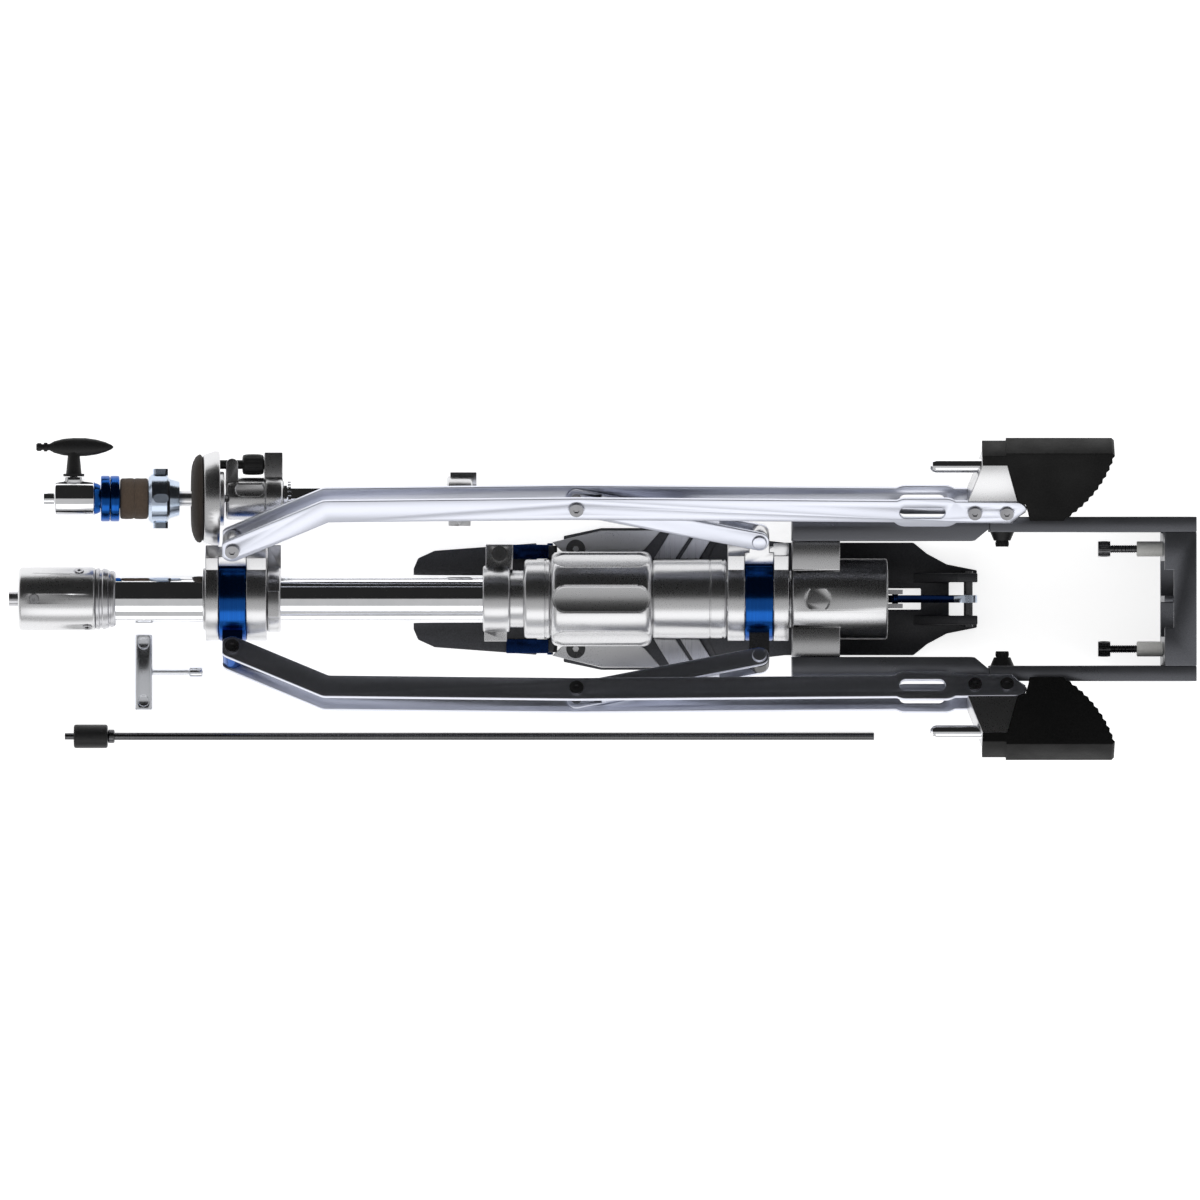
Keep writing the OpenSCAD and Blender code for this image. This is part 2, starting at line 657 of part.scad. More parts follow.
// Blue hinge blocks on both sides, and the pin through them
module heel_hinge() color("navy") placed() {
    for (side = [1, -1]) on_side(side) difference() {
        translate([heel_e - 20, 26 + 2 * gap, board_z + board_t + eps]) cube([42, 9.4, 3]);
        translate([heel_hinge_s - 1, 0, -axis_h]) cube([60, 60, 60]);
    }
    translate([heel_hinge_s, 37, board_z + hinge_h]) rotate([90, 0, 0]) cylinder(h = 74, r = 2);
}

// Leg collar

module collar_sleeve() color("white") placed() difference() {
    union() {
        along(collar_s - 1.8, collar_s - gap, bush_r + 2);
        along(collar_s - 2 * gap, sleeve_s + 1, bush_r);
        soft_ring(sleeve_s + gap, collar_e, stop_r, tube_r + run_play);
        translate([sleeve_s + gap, tube_r + 2, -6]) cube([clamp_l - gap, 35.6 - tube_r - 2, 12]);
        translate([sleeve_s + 1, -12, stop_r - 6]) cube([clamp_l - 2, 17, 8]);
    }
    along(collar_s - 4, collar_e + 4, tube_r + run_play);
    translate([sleeve_s - 1, stop_r, -0.8]) cube([clamp_l + 2, 20, 1.6]);
}

module boss_outline(r) {
    circle(r = ring_r);
    translate([0, -9]) square([r, 18]);
}

// Two flanges with a lug between them, on the left side
module silver_ring(a, b, c, d, bore, lug_r, lug_t, pivot_s, rim) difference() {
    union() {
        for (f = [[a, b], [c, d]])
            translate([f[0], 0, 0]) rotate([90, 0, 90]) rotate([0, 0, leg_raise])
                linear_extrude(f[1] - f[0]) boss_outline(rim);
        leg_plane() translate([b - eps, ring_r + gap, -lug_t / 2])
            cube([c - b + 2 * eps, rim - ring_r - gap, lug_t]);
        leg_plane() translate([0, 0, -lug_t / 2]) linear_extrude(lug_t) {
            translate([pivot_s, lug_r]) circle(r = lug_end);
            translate([pivot_s - lug_end, rim - 4]) square([2 * lug_end, lug_r - rim + 4]);
        }
    }
    along(a - 1, d + 1, bore);
    leg_plane() across(pivot_s, lug_r, -50, 50, 3 + run_play);
}
lug_end = 6.6;

// A ring with one lug, on the right side
module blue_ring(a, b, bore, lug_r, lug_t, pivot_s) difference() {
    union() {
        soft_ring(a + gap, b - gap, ring_r, bore, 0.8);
        on_side(-1) leg_plane() translate([0, 0, -lug_t / 2]) linear_extrude(lug_t) {
            translate([pivot_s, lug_r]) circle(r = lug_end);
            translate([pivot_s - lug_end, ring_r - 6]) square([2 * lug_end, lug_r - ring_r + 6]);
        }
    }
    along(a - 1, b + 1, bore);
    on_side(-1) leg_plane() across(pivot_s, lug_r, -50, 50, 3 + run_play);
}

upper_lug_t = bar_space - 2 * gap;
lower_lug_t = bar_space - 4 * gap - 2 * brace_t;
upper_rim = 35.5;
lower_rim = 37;
module upper_silver_ring() color("silver") placed()
    silver_ring(collar_s, upper_ring_s, upper_ring_e, sleeve_s, bush_r + run_play,
        upper_pivot_r, upper_lug_t, upper_pivot_s, upper_rim);
module upper_blue_ring() color("mediumblue") placed()
    blue_ring(upper_ring_s, upper_ring_e, bush_r + run_play, upper_pivot_r, upper_lug_t, upper_pivot_s);
module lower_silver_ring() color("silver") placed()
    silver_ring(lower_s, lower_ring_s, lower_ring_e, lower_e, tube_r + run_play,
        lower_pivot_r, lower_lug_t, lower_pivot_s, lower_rim);
module lower_blue_ring() color("mediumblue") placed() difference() {
    soft_ring(lower_ring_s + gap, lower_ring_e - gap, ring_r, tube_r + run_play, 0.8);
    on_side(-1) leg_plane() translate([0, ring_r - 4, -lower_lug_t / 2])
        translate([lower_pivot_s - lug_end, 0, 0]) cube([2 * lug_end, 10, lower_lug_t]);
}
module lower_lug() color("black") placed() on_side(-1) leg_plane() difference() {
    translate([0, 0, -lower_lug_t / 2]) linear_extrude(lower_lug_t) {
        translate([lower_pivot_s, lower_pivot_r]) circle(r = lug_end);
        translate([lower_pivot_s - lug_end, ring_r - 4]) square([2 * lug_end, lower_pivot_r - ring_r + 4]);
    }
    across(lower_pivot_s, lower_pivot_r, -50, 50, 3 + run_play);
}

// Legs

bend_s = upper_pivot_s + 62;
leg_end_s = leg_mid_s + leg_end_l;
leg_far_r = leg_mid_r - 2.6;
oval_s = leg_end_s - 72;
module leg_outline() difference() {
    union() {
        slab([upper_pivot_s, upper_pivot_r], [bend_s, leg_mid_r - 2], bar_w);
        slab([bend_s, leg_mid_r - 2], [leg_mid_s, leg_mid_r], bar_w);
        slab([leg_mid_s, leg_mid_r], [leg_end_s, leg_far_r], bar_w);
        slab([oval_s, leg_far_r], [oval_s + 26, leg_far_r], bar_w + 5);
    }
    slab([oval_s, leg_far_r], [oval_s + 22, leg_far_r], 8);
    // end cut short beside the seat
    translate([upper_pivot_s - lug_end - bar_w, 0]) square([bar_w, upper_pivot_r + bar_w]);
    translate([leg_end_s + 2, leg_far_r - 12]) rotate(45) square([14, 6]);
}
end_screws = [leg_end_s - 26.5, leg_end_s - 5.5];
module leg() leg_plane() for (t = [bar_space / 2, -bar_space / 2 - bar_t])
    difference() {
        translate([0, 0, t]) linear_extrude(bar_t) leg_outline();
        across(upper_pivot_s, upper_pivot_r, -50, 50, 3);
        across(leg_mid_s, leg_mid_r, -50, 50, 3);
        for (x = end_screws) across(x, leg_far_r, -50, 50, 2.5);
    }
module leg_left() color("lightgray") placed() leg();
module leg_right() color("lightgray") placed() on_side(-1) leg();

// Pivot screw through the lug, stub screws at the brace, screws of the foot
module screw_head(s, r, rad) {
    top = bar_space / 2 + bar_t + eps;
    difference() {
        across(s, r, top, top + 2, rad);
        across(s, r, top + 0.9, top + 3, rad * 0.45, 6);
    }
    across(s, r, -top - 2, -top, rad);
}
module leg_screws() leg_plane() {
    across(upper_pivot_s, upper_pivot_r, -bar_space / 2 - bar_t - 1, bar_space / 2 + bar_t + 1, 3 - eps);
    screw_head(upper_pivot_s, upper_pivot_r, 4.6);
    for (z = [bar_space / 2, -bar_space / 2 - bar_t - 1])
        across(leg_mid_s, leg_mid_r, z, z + bar_t + 1, 3 - eps);
    screw_head(leg_mid_s, leg_mid_r, 4.6);
    for (x = end_screws) {
        across(x, leg_far_r, -bar_space / 2 - bar_t - 1, bar_space / 2 + bar_t + 1, 2.5 - eps);
        screw_head(x, leg_far_r, 4.4);
    }
}
module leg_screws_left() color("silver") placed() leg_screws();
module leg_screws_right() color("silver") placed() on_side(-1) leg_screws();

brace_out = bar_space / 2 - gap;
module brace() leg_plane() {
    mid = [leg_mid_s, leg_mid_r];
    low = [lower_pivot_s, lower_pivot_r];
    along_brace = (low - mid) / brace_l;
    difference() {
        union() {
            for (t = [brace_out - brace_t, -brace_out])
                translate([0, 0, t]) linear_extrude(brace_t) slab(mid, low, brace_w);
            // web along the outer edge
            translate([0, 0, -brace_out]) linear_extrude(2 * brace_out)
                translate(mid + 16 * along_brace)
                rotate(-brace_rest)
                translate([0, brace_w / 2 - 2.6]) square([brace_l - 44, 2.2]);
        }
        across(leg_mid_s, leg_mid_r, -50, 50, 3 + gap);
    }
    // pivot pin of the lower lug
    across(lower_pivot_s, lower_pivot_r, -brace_out + 1, brace_out - 1, 3);
    for (z = [brace_out - 1, -brace_out - 2]) across(lower_pivot_s, lower_pivot_r, z, z + 3, 4.6);
}
module brace_left() color("lightgray") placed() brace();
module brace_right() color("lightgray") placed() on_side(-1) brace();

// Foot of a leg: bracket between the bars, rubber foot, spur through both
bracket_s = leg_end_s - 31.5;
cheek_e = leg_end_s + 1.6;
cheek_r = leg_far_r + bar_w / 2 + gap;
crown_r = spur_r + 6;
crown_s = bracket_s + 9.5;
crown_e = leg_end_s - 5.4;
module foot_bracket() leg_plane() difference() {
    union() {
        translate([0, 0, -upper_lug_t / 2]) linear_extrude(upper_lug_t)
            polygon([
                [bracket_s, leg_far_r - 6], [leg_end_s + 1, leg_far_r - 6],
                [leg_end_s + 7, leg_far_r - 1.5], [leg_end_s + 5, leg_far_r + 6.4],
                [cheek_e, cheek_r], [crown_e, crown_r], [crown_s, crown_r], [bracket_s, cheek_r]
            ]);
        translate([0, 0, -foot_w / 2 + 1]) linear_extrude(foot_w - 2)
            polygon([[bracket_s, cheek_r], [cheek_e, cheek_r], [crown_e, crown_r], [crown_s, crown_r]]);
    }
    translate([bracket_s - 5, spur_r, 0]) rotate([0, 90, 0]) cylinder(h = 60, r = spur_d / 2 + run_play);
    for (x = end_screws) across(x, leg_far_r, -50, 50, 2.5);
}
module foot_bracket_left() color("silver") placed() foot_bracket();
module foot_bracket_right() color("silver") placed() on_side(-1) foot_bracket();

// The tread of a rubber foot is an arc with grooves across it
foot_out = spur_r + 15;
foot_in = leg_far_r - 5.5;
tread_r = 85.6;
tread_s = leg_end_s - 17.9;
tread_c = spur_r + 34.6;
tread_steps = 22;
module foot_outline()
    polygon(concat(
        [[cheek_e + eps, cheek_r], [crown_e + eps, crown_r + eps], [crown_s, crown_r + eps],
            [crown_s, foot_out - 2], [crown_e - 1, foot_out - 2], [crown_e - 1, foot_out]],
        [[tread_s + tread_r * cos(-14) - 2, foot_out]],
        [for (k = [0 : tread_steps]) let (a = -14.6 - 39.8 * k / tread_steps)
            [tread_s, tread_c] + (tread_r + (k % 2 == 0 ? 0 : -1.2)) * [cos(a), sin(a)]],
        [[leg_end_s + 9.5, foot_in], [leg_end_s + 8.3, leg_far_r + 0.5], [leg_end_s + 6.6, leg_far_r + 6.6]]
    ));
module rubber_foot() leg_plane() difference() {
    translate([0, 0, -foot_w / 2]) linear_extrude(foot_w) foot_outline();
    translate([bracket_s, spur_r, 0]) rotate([0, 90, 0]) cylinder(h = spur_e + 10 - bracket_s, r = spur_d / 2 + gap);
}
module rubber_foot_left() color("dimgray") placed() rubber_foot();
module rubber_foot_right() color("dimgray") placed() on_side(-1) rubber_foot();

spur_s = bracket_s - 25;
spur_e = leg_end_s + 44;
module foot_spur() leg_plane() translate([0, spur_r, 0])
    turned([[spur_s, 0], [spur_s + 0.6, spur_d / 4], [spur_s + 2, spur_d / 2.4],
        [spur_s + 4, spur_d / 2], [spur_e - 10, spur_d / 2], [spur_e, 0.6], [spur_e, 0]]);
module foot_spur_left() color("silver") placed() foot_spur();
module foot_spur_right() color("silver") placed() on_side(-1) foot_spur();

// Upper section, leaning on the rim of the seat and on the end of its tube

seat_s = felt_s + 11.3;
upper_ring_place = seat_s + 42;
upper_end_s = upper_ring_place + upper_l;
lean = atan2(seat_r - upper_d / 2, upper_end_s - seat_s - 8);
module upper_placed() translate([seat_s + 8 - column_l / 2, upper_y, seat_r * cos(lean)])
    rotate([0, lean, 0]) translate([-seat_s - 8, 0, 0]) children();

module upper_tube() color("gainsboro") upper_placed() {
    along(seat_s + 24, upper_end_s, upper_d / 2, upper_d / 2 - upper_wall);
    difference() {
        soft_ring(clamp_e + gap, clamp_e + 3.6, upper_d / 2 + 2.6, upper_d / 2 - eps, 0.8);
        along(seat_s + 20, clamp_e + 9, upper_d / 2 - upper_wall / 2);
    }
    for (a = [0 : 15 : 345]) rotate([a, 0, 0])
        translate([clamp_e + 3, -0.8, upper_d / 2 - 0.3]) cube([2.6, 1.6, 2.2]);
}
knob_y = 22.5;
clamp_s = seat_s + 36.9;
clamp_e = seat_s + 48.8;
tilt_s = seat_s + 10.9;
tilt_r = 2.5;
module seat_housing() color("silver") upper_placed() difference() {
    union() {
        soft_ring(seat_s + 11.5, clamp_s + 2, 14, 2, 2);
        soft_ring(clamp_s, clamp_e, 15.5, 2, 1.5);
        translate([0, 0, -9]) linear_extrude(18) slab([seat_s + 15.5, 8], [seat_s + 15.5, knob_y], 8);
        translate([clamp_s, 0, -8]) cube([clamp_e - clamp_s, knob_y + 8, 16]);
    }
    along(seat_s + 24 - eps, seat_s + 60, upper_d / 2 + run_play);
    along(seat_s, seat_s + 60, rod_d / 2 + 1);
    translate([0, knob_y, 0]) along(seat_s, seat_s + 60, 3 + run_play);
    translate([seat_s + 20, 3, 10]) linear_extrude(5) slab([2, 3], [12, 3], 9);
    translate([tilt_s, 0, -20]) cylinder(h = 40, r = tilt_r + run_play);
}
module tilt_knob() color("black") upper_placed() translate([0, knob_y, 0]) {
    along(seat_s + 7.2 + gap, clamp_e - 2, 3);
    soft_ring(seat_s + 22.5, clamp_s - gap, 6.6, 1, 1.5);
}
module seat_cup() color("gainsboro") upper_placed() difference() {
    union() {
        along(felt_s - 9.9, seat_s + 1, spout_r);
        turned([[seat_s - 4, 0], [seat_s - 4, 27.5], [seat_s - 3, 29], [seat_s + 4, seat_r],
            [seat_s + 7.2, seat_r], [seat_s + 7.2, 0]]);
        along(seat_s + 7, seat_s + 10.3, 18);
        // barrel on which the cup tilts
        translate([tilt_s, 0, -7]) cylinder(h = 14, r = tilt_r);
    }
    along(felt_s - 12, seat_s + 30, rod_d / 2 + 0.5);
}
module seat_felt() color("saddlebrown") upper_placed()
    turned([[felt_s, spout_r + gap], [felt_s, 19], [felt_s + 1.2, 24.5], [felt_s + 3.6, 28.4],
        [felt_s + 5.4, 29.4], [felt_s + 7, 29.2], [seat_s - 4 - eps, 27.2],
        [seat_s - 4 - eps, spout_r + gap]]);

lock_s = upper_ring_place + lock_reach;
lock_l = 16.5;
module memory_lock() color("silver") upper_placed() {
    difference() {
        union() {
            soft_ring(lock_s, lock_s + lock_l, 15, upper_d / 2 + run_play);
            translate([lock_s + 1, -18, -5]) cube([lock_l - 2, 8, 10]);
            translate([lock_s + 2, 9, -5]) cube([lock_l + 1, 8.5, 10]);
        }
        along(lock_s - 1, lock_s + 40, upper_d / 2 + run_play);
        translate([lock_s - 1, -30, -0.6]) cube([lock_l + 2, 18, 1.2]);
        translate([lock_s + lock_l / 2, -14.8, -20]) cylinder(h = 40, r = 2);
    }
    translate([lock_s + lock_l / 2, -14.8, -7]) cylinder(h = 14, r = 2);
    translate([lock_s + lock_l / 2, -14.8, 5]) cylinder(h = 4, r = 2.6, $fn = 4);
}

// Clutch, pushed over the spout

clutch_e = felt_s - 7.9;
nut_s0 = clutch_e - 20.4;
felts_s = nut_s0 - 18.7;
rings_s = felts_s - 12.8;
body_s = rings_s - 16.3;
stem_r = spout_r + gap + 1.4;
module clutch_bore(a, b) along(a, b, rod_d / 2 + 0.3);
module clutch_body() color("gainsboro") upper_placed() difference() {
    union() {
        soft_ring(body_s - 14.4, body_s + 12, clutch_r, 1, 1);
        turned([[body_s + 11.9, 0], [body_s + 11.9, clutch_r - 1], [rings_s - gap, 9], [rings_s - gap, 0]]);
        along(rings_s - 1, nut_s0 + 8, stem_r - 0.4);
        along(body_s - 21.5, body_s - 14, rod_d / 2 + 1.6);
        translate([wing_s, clutch_r - 2, 0]) rotate([-90, 0, 0]) cylinder(h = 3.6, r = 8);
    }
    clutch_bore(body_s - 40, clutch_e);
    translate([wing_s, 0, 0]) rotate([-90, 0, 0]) cylinder(h = 40, r = 2.5 + run_play);
}
wing_s = body_s - 1.5;
wing_r = 34;
module clutch_wing_screw() color("silver") upper_placed() translate([wing_s, 0, 0]) rotate([-90, 0, 0]) {
    translate([0, 0, rod_d / 2 + 1]) cylinder(h = 14, r = 2.5);
    translate([0, 0, clutch_r + 2]) cylinder(h = 1.8, r = 7);
    translate([0, 0, clutch_r + 3.6]) cylinder(h = wing_r - clutch_r - 5, r1 = 5.2, r2 = 3.6);
    // handle turned like a spindle, and flat
    translate([0, 0, wing_r]) scale([1, 0.75, 1])
        turned([[-24.8, 0], [-24.8, 2], [-23.8, 2.7], [-21.6, 2.7], [-21.2, 2], [-20, 2], [-19.6, 3],
            [-17.6, 3], [-17.2, 2.2], [-16, 2.2], [-13, 3.9], [-7, 5.5], [0, 6.1], [8, 6], [15, 5],
            [21, 3.3], [25, 1.5], [26.4, 0]]);
}
module clutch_rings() color("mediumblue") upper_placed() for (k = [0, 1])
    soft_ring(rings_s + 6.3 * k, rings_s + 6.3 * k + 6, 15.2, stem_r - 0.4 + run_play, 0.8);
module clutch_felts() color("saddlebrown") upper_placed() for (k = [0, 1])
    soft_ring(felts_s + 9.3 * k + eps, felts_s + 9.3 * k + 9.2, clutch_r + 1, stem_r - 0.4 + gap, 1.5);
module clutch_bottom_nut() color("lightsteelblue") upper_placed() difference() {
    union() {
        turned([[nut_s0, 0], [nut_s0, nut_r - 2], [nut_s0 + 2, nut_r], [nut_s0 + 12, nut_r],
            [nut_s0 + 14, nut_r - 3], [clutch_e, nut_r - 5], [clutch_e, 0]]);
        for (a = [0 : 90 : 270]) rotate([a, 0, 0])
            translate([nut_s0 + 3, 0, nut_r - 3]) linear_extrude(6.5)
            slab([3, 0], [7, 0], 6);
    }
    along(nut_s0 - 1, nut_s0 + 8 + gap, stem_r - 0.4 + run_play);
    along(nut_s0, clutch_e + 1, spout_r + run_play);
}

// Loose pieces beside the stand

loose_rod_s = 35.6;
loose_rod_y = -91;
grip_r = 7.8;
rod_r = 2.5;
neck_r = 2.2;
grip_e = 33;
grip_s = 28.4;
rod_lean = atan2(grip_r - rod_r, upper_rod_l - grip_s);
rod_z = grip_r * cos(rod_lean) + grip_s * sin(rod_lean);
module rod_placed() translate([loose_rod_s - column_l / 2, loose_rod_y, rod_z])
    rotate([0, rod_lean, 0]) children();
module upper_rod() color("dimgray") rod_placed() {
    along(0, grip_e, neck_r);
    along(grip_e - eps, upper_rod_l, rod_r);
    soft_ring(grip_s + 0.2, grip_e, 4.5, neck_r - eps, 0.8);
}
module rod_grip() color("black") rod_placed() soft_ring(6, grip_s, grip_r, neck_r + run_play, 1.2);

key_s = 81.8;
key_y = -48.5;
key_w = 12;
key_t = 8;
key_half = 25;
module drum_key() color("silver") translate([key_s - column_l / 2 + key_w / 2, key_y, key_t / 2]) {
    // flat handle with bevelled ends and a grip hollow on each half
    difference() {
        rotate([90, 0, 0]) translate([0, 0, -key_half]) linear_extrude(2 * key_half)
            polygon([[-key_w / 2, -2.5], [-key_w / 2 + 1.5, -key_t / 2], [key_w / 2 - 1.5, -key_t / 2],
                [key_w / 2, -2.5], [key_w / 2, 2.5], [key_w / 2 - 1.5, key_t / 2],
                [-key_w / 2 + 1.5, key_t / 2], [-key_w / 2, 2.5]]);
        for (side = [1, -1]) translate([0, side * (key_half - 6), key_t / 2 - 0.8])
            cylinder(h = 2, r = 3.6);
    }
    along(key_w / 2 - 1, 32, 1.9);
    difference() {
        soft_ring(30, 45 - key_w / 2, 3.7, 0.4, 0.6);
        translate([33, 0, 0]) rotate([45, 0, 0]) translate([0, -2.2, -2.2]) cube([20, 4.4, 4.4]);
    }
    along(29, 33, 1);
}

base_tube();
top_barrel();
barrel_collar();
barrel_screws();
stop_ring();
stop_ring_screw();
cap_ring();
spring_housing();
rod_bush();
base_casting();
side_plate_left();
side_plate_right();
frame_screws();
lower_frame_left();
lower_frame_right();
frame_nuts();
foot_plate();
tension_dial();
lower_rod();
return_spring();
direct_link();
footboard();
toe_axle();
footboard_screws();
heel_plate();
heel_hinge();
collar_sleeve();
upper_silver_ring();
upper_blue_ring();
lower_silver_ring();
lower_blue_ring();
lower_lug();
leg_left();
leg_right();
leg_screws_left();
leg_screws_right();
brace_left();
brace_right();
foot_bracket_left();
foot_bracket_right();
rubber_foot_left();
rubber_foot_right();
foot_spur_left();
foot_spur_right();
anchor_spur_left();
anchor_spur_right();
upper_tube();
seat_housing();
seat_cup();
seat_felt();
tilt_knob();
memory_lock();
clutch_body();
clutch_wing_screw();
clutch_rings();
clutch_felts();
clutch_bottom_nut();
upper_rod();
rod_grip();
drum_key();
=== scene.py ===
import json
import math

import bmesh
import bpy
from mathutils import Matrix, Vector

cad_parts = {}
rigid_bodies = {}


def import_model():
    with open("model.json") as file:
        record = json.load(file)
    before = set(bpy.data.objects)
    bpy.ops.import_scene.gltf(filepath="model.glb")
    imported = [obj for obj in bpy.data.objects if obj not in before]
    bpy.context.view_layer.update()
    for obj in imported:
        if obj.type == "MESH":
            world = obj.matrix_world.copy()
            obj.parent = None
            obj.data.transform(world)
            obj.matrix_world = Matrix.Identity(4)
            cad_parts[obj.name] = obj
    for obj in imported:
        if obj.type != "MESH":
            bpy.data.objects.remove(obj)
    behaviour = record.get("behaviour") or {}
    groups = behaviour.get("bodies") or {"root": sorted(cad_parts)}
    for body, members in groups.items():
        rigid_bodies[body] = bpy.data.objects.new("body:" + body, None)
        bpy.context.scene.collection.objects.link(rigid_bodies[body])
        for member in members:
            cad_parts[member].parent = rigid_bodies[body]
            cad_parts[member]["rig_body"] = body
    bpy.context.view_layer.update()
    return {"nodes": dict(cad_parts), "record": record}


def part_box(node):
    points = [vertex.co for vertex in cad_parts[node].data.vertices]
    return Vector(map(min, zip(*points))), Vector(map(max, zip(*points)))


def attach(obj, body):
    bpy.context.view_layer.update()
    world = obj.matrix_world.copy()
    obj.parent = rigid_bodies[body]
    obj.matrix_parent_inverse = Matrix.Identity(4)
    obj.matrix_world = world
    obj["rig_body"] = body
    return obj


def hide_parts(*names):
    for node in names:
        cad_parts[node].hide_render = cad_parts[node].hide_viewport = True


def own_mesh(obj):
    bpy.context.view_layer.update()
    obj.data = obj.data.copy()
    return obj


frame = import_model()
nodes = frame["nodes"]

# Sizes repeated from the part's source, in metres along the column
COLUMN = 0.7823
AXIS_H = 0.042


def at(station, y=0.0, z=0.0):
    """Place on the column: station in mm from the rod tip, y and z in mm from the tube's axis."""
    return Vector(((station / 1000) - COLUMN / 2, y / 1000, AXIS_H + z / 1000))


def placed(name, data):
    """A new object in the scene, which holds a mesh, a lamp or a camera."""
    obj = bpy.data.objects.new(name, data)
    bpy.context.scene.collection.objects.link(obj)
    return obj


LENS = 454.5
SENSOR_WIDTH = 36
CAMERA_PLACE = (-0.0011, -0.0007, 10.042)

camera_data = bpy.data.cameras.new("overhead_camera")
camera_data.lens = LENS
camera_data.sensor_width = SENSOR_WIDTH
camera = placed("overhead_camera", camera_data)
camera.location = CAMERA_PLACE
bpy.context.scene.camera = camera
bpy.context.scene.view_settings.view_transform = "Standard"


# Materials


def empty_material(name):
    """A new material that holds nothing but its output."""
    mat = bpy.data.materials.new(name)
    mat.use_nodes = True
    tree = mat.node_tree
    tree.nodes.clear()
    return mat, tree, tree.nodes.new("ShaderNodeOutputMaterial")


def blank(name):
    """A new material with its principled shader."""
    mat, tree, out = empty_material(name)
    shader = tree.nodes.new("ShaderNodeBsdfPrincipled")
    tree.links.new(shader.outputs[0], out.inputs[0])
    return mat, tree, shader


def object_pattern(tree, stretch):
    """The place on an object, stretched to shape a pattern."""
    coords = tree.nodes.new("ShaderNodeTexCoord")
    mapping = tree.nodes.new("ShaderNodeMapping")
    mapping.inputs["Scale"].default_value = stretch
    tree.links.new(coords.outputs["Object"], mapping.inputs["Vector"])
    return mapping.outputs["Vector"]


def noise(tree, vector, scale, detail=4.0, rough=0.55):
    tex = tree.nodes.new("ShaderNodeTexNoise")
    tex.inputs["Scale"].default_value = scale
    tex.inputs["Detail"].default_value = detail
    tex.inputs["Roughness"].default_value = rough
    tree.links.new(vector, tex.inputs["Vector"])
    return tex.outputs["Fac"]


def spread(tree, value, low, high, start=0.3, end=0.7):
    """Maps a pattern onto a span of values."""
    node = tree.nodes.new("ShaderNodeMapRange")
    node.inputs["From Min"].default_value = start
    node.inputs["From Max"].default_value = end
    node.inputs["To Min"].default_value = low
    node.inputs["To Max"].default_value = high
    tree.links.new(value, node.inputs["Value"])
    return node.outputs["Result"]


def two_tones(tree, value, dark, light, start=0.3, end=0.7):
    ramp = tree.nodes.new("ShaderNodeValToRGB")
    ramp.color_ramp.elements[0].position = start
    ramp.color_ramp.elements[0].color = (*dark, 1)
    ramp.color_ramp.elements[1].position = end
    ramp.color_ramp.elements[1].color = (*light, 1)
    tree.links.new(value, ramp.inputs["Fac"])
    return ramp.outputs["Color"]


def relief(tree, shader, value, strength, distance):
    bump = tree.nodes.new("ShaderNodeBump")
    bump.inputs["Strength"].default_value = strength
    bump.inputs["Distance"].default_value = distance
    tree.links.new(value, bump.inputs["Height"])
    tree.links.new(bump.outputs["Normal"], shader.inputs["Normal"])


# How the marks of the tool run: round the column, along it, or in no direction
GRAIN = {
    "turned": (2600, 12, 12),
    "drawn": (10, 2200, 2200),
    "blasted": (1500, 1500, 1500),
    "polished": (90, 90, 90),
}

# Share of the tool's marks in a metal's tone; handling smears make up the rest
MARKS_SHARE = 0.6
# Depth of the grain, in metres
METAL_GRAIN = 0.00003
COAT_GRAIN = 0.0004


def metal(name, dark, light, rough, grain, depth=0.04):
    """Bare, plated or anodised metal with the marks of its making and faint handling smears."""
    mat, tree, shader = blank(name)
    shader.inputs["Metallic"].default_value = 1.0
    marks = noise(tree, object_pattern(tree, GRAIN[grain]), 1.0, 3.0)
    smears = noise(tree, object_pattern(tree, (9, 24, 24)), 1.0, 5.0, 0.6)
    blend = tree.nodes.new("ShaderNodeMath")
    blend.operation = "MULTIPLY_ADD"
    blend.inputs[1].default_value = MARKS_SHARE
    tree.links.new(marks, blend.inputs[0])
    part = tree.nodes.new("ShaderNodeMath")
    part.operation = "MULTIPLY"
    part.inputs[1].default_value = 1 - MARKS_SHARE
    tree.links.new(smears, part.inputs[0])
    tree.links.new(part.outputs[0], blend.inputs[2])
    tree.links.new(two_tones(tree, blend.outputs[0], dark, light), shader.inputs["Base Color"])
    tree.links.new(spread(tree, blend.outputs[0], rough[0], rough[1]), shader.inputs["Roughness"])
    relief(tree, shader, marks, depth, METAL_GRAIN)
    return mat


def coated(name, dark, light, rough, scale, depth, metallic=0.0, coat=0.0, sheen=0.0, gloss=0.5):
    """Paint, plastic, rubber or felt: a fine grain with slow changes of tone."""
    mat, tree, shader = blank(name)
    shader.inputs["Metallic"].default_value = metallic
    shader.inputs["Coat Weight"].default_value = coat
    shader.inputs["Coat Roughness"].default_value = 0.12
    shader.inputs["Sheen Weight"].default_value = sheen
    shader.inputs["Specular IOR Level"].default_value = gloss
    fine = noise(tree, object_pattern(tree, (1, 1, 1)), scale, 5.0, 0.6)
    slow = noise(tree, object_pattern(tree, (1, 1, 1)), 45.0, 3.0)
    tree.links.new(two_tones(tree, fine, dark, light), shader.inputs["Base Color"])
    tree.links.new(spread(tree, slow, rough[0], rough[1]), shader.inputs["Roughness"])
    relief(tree, shader, fine, depth, COAT_GRAIN)
    return mat


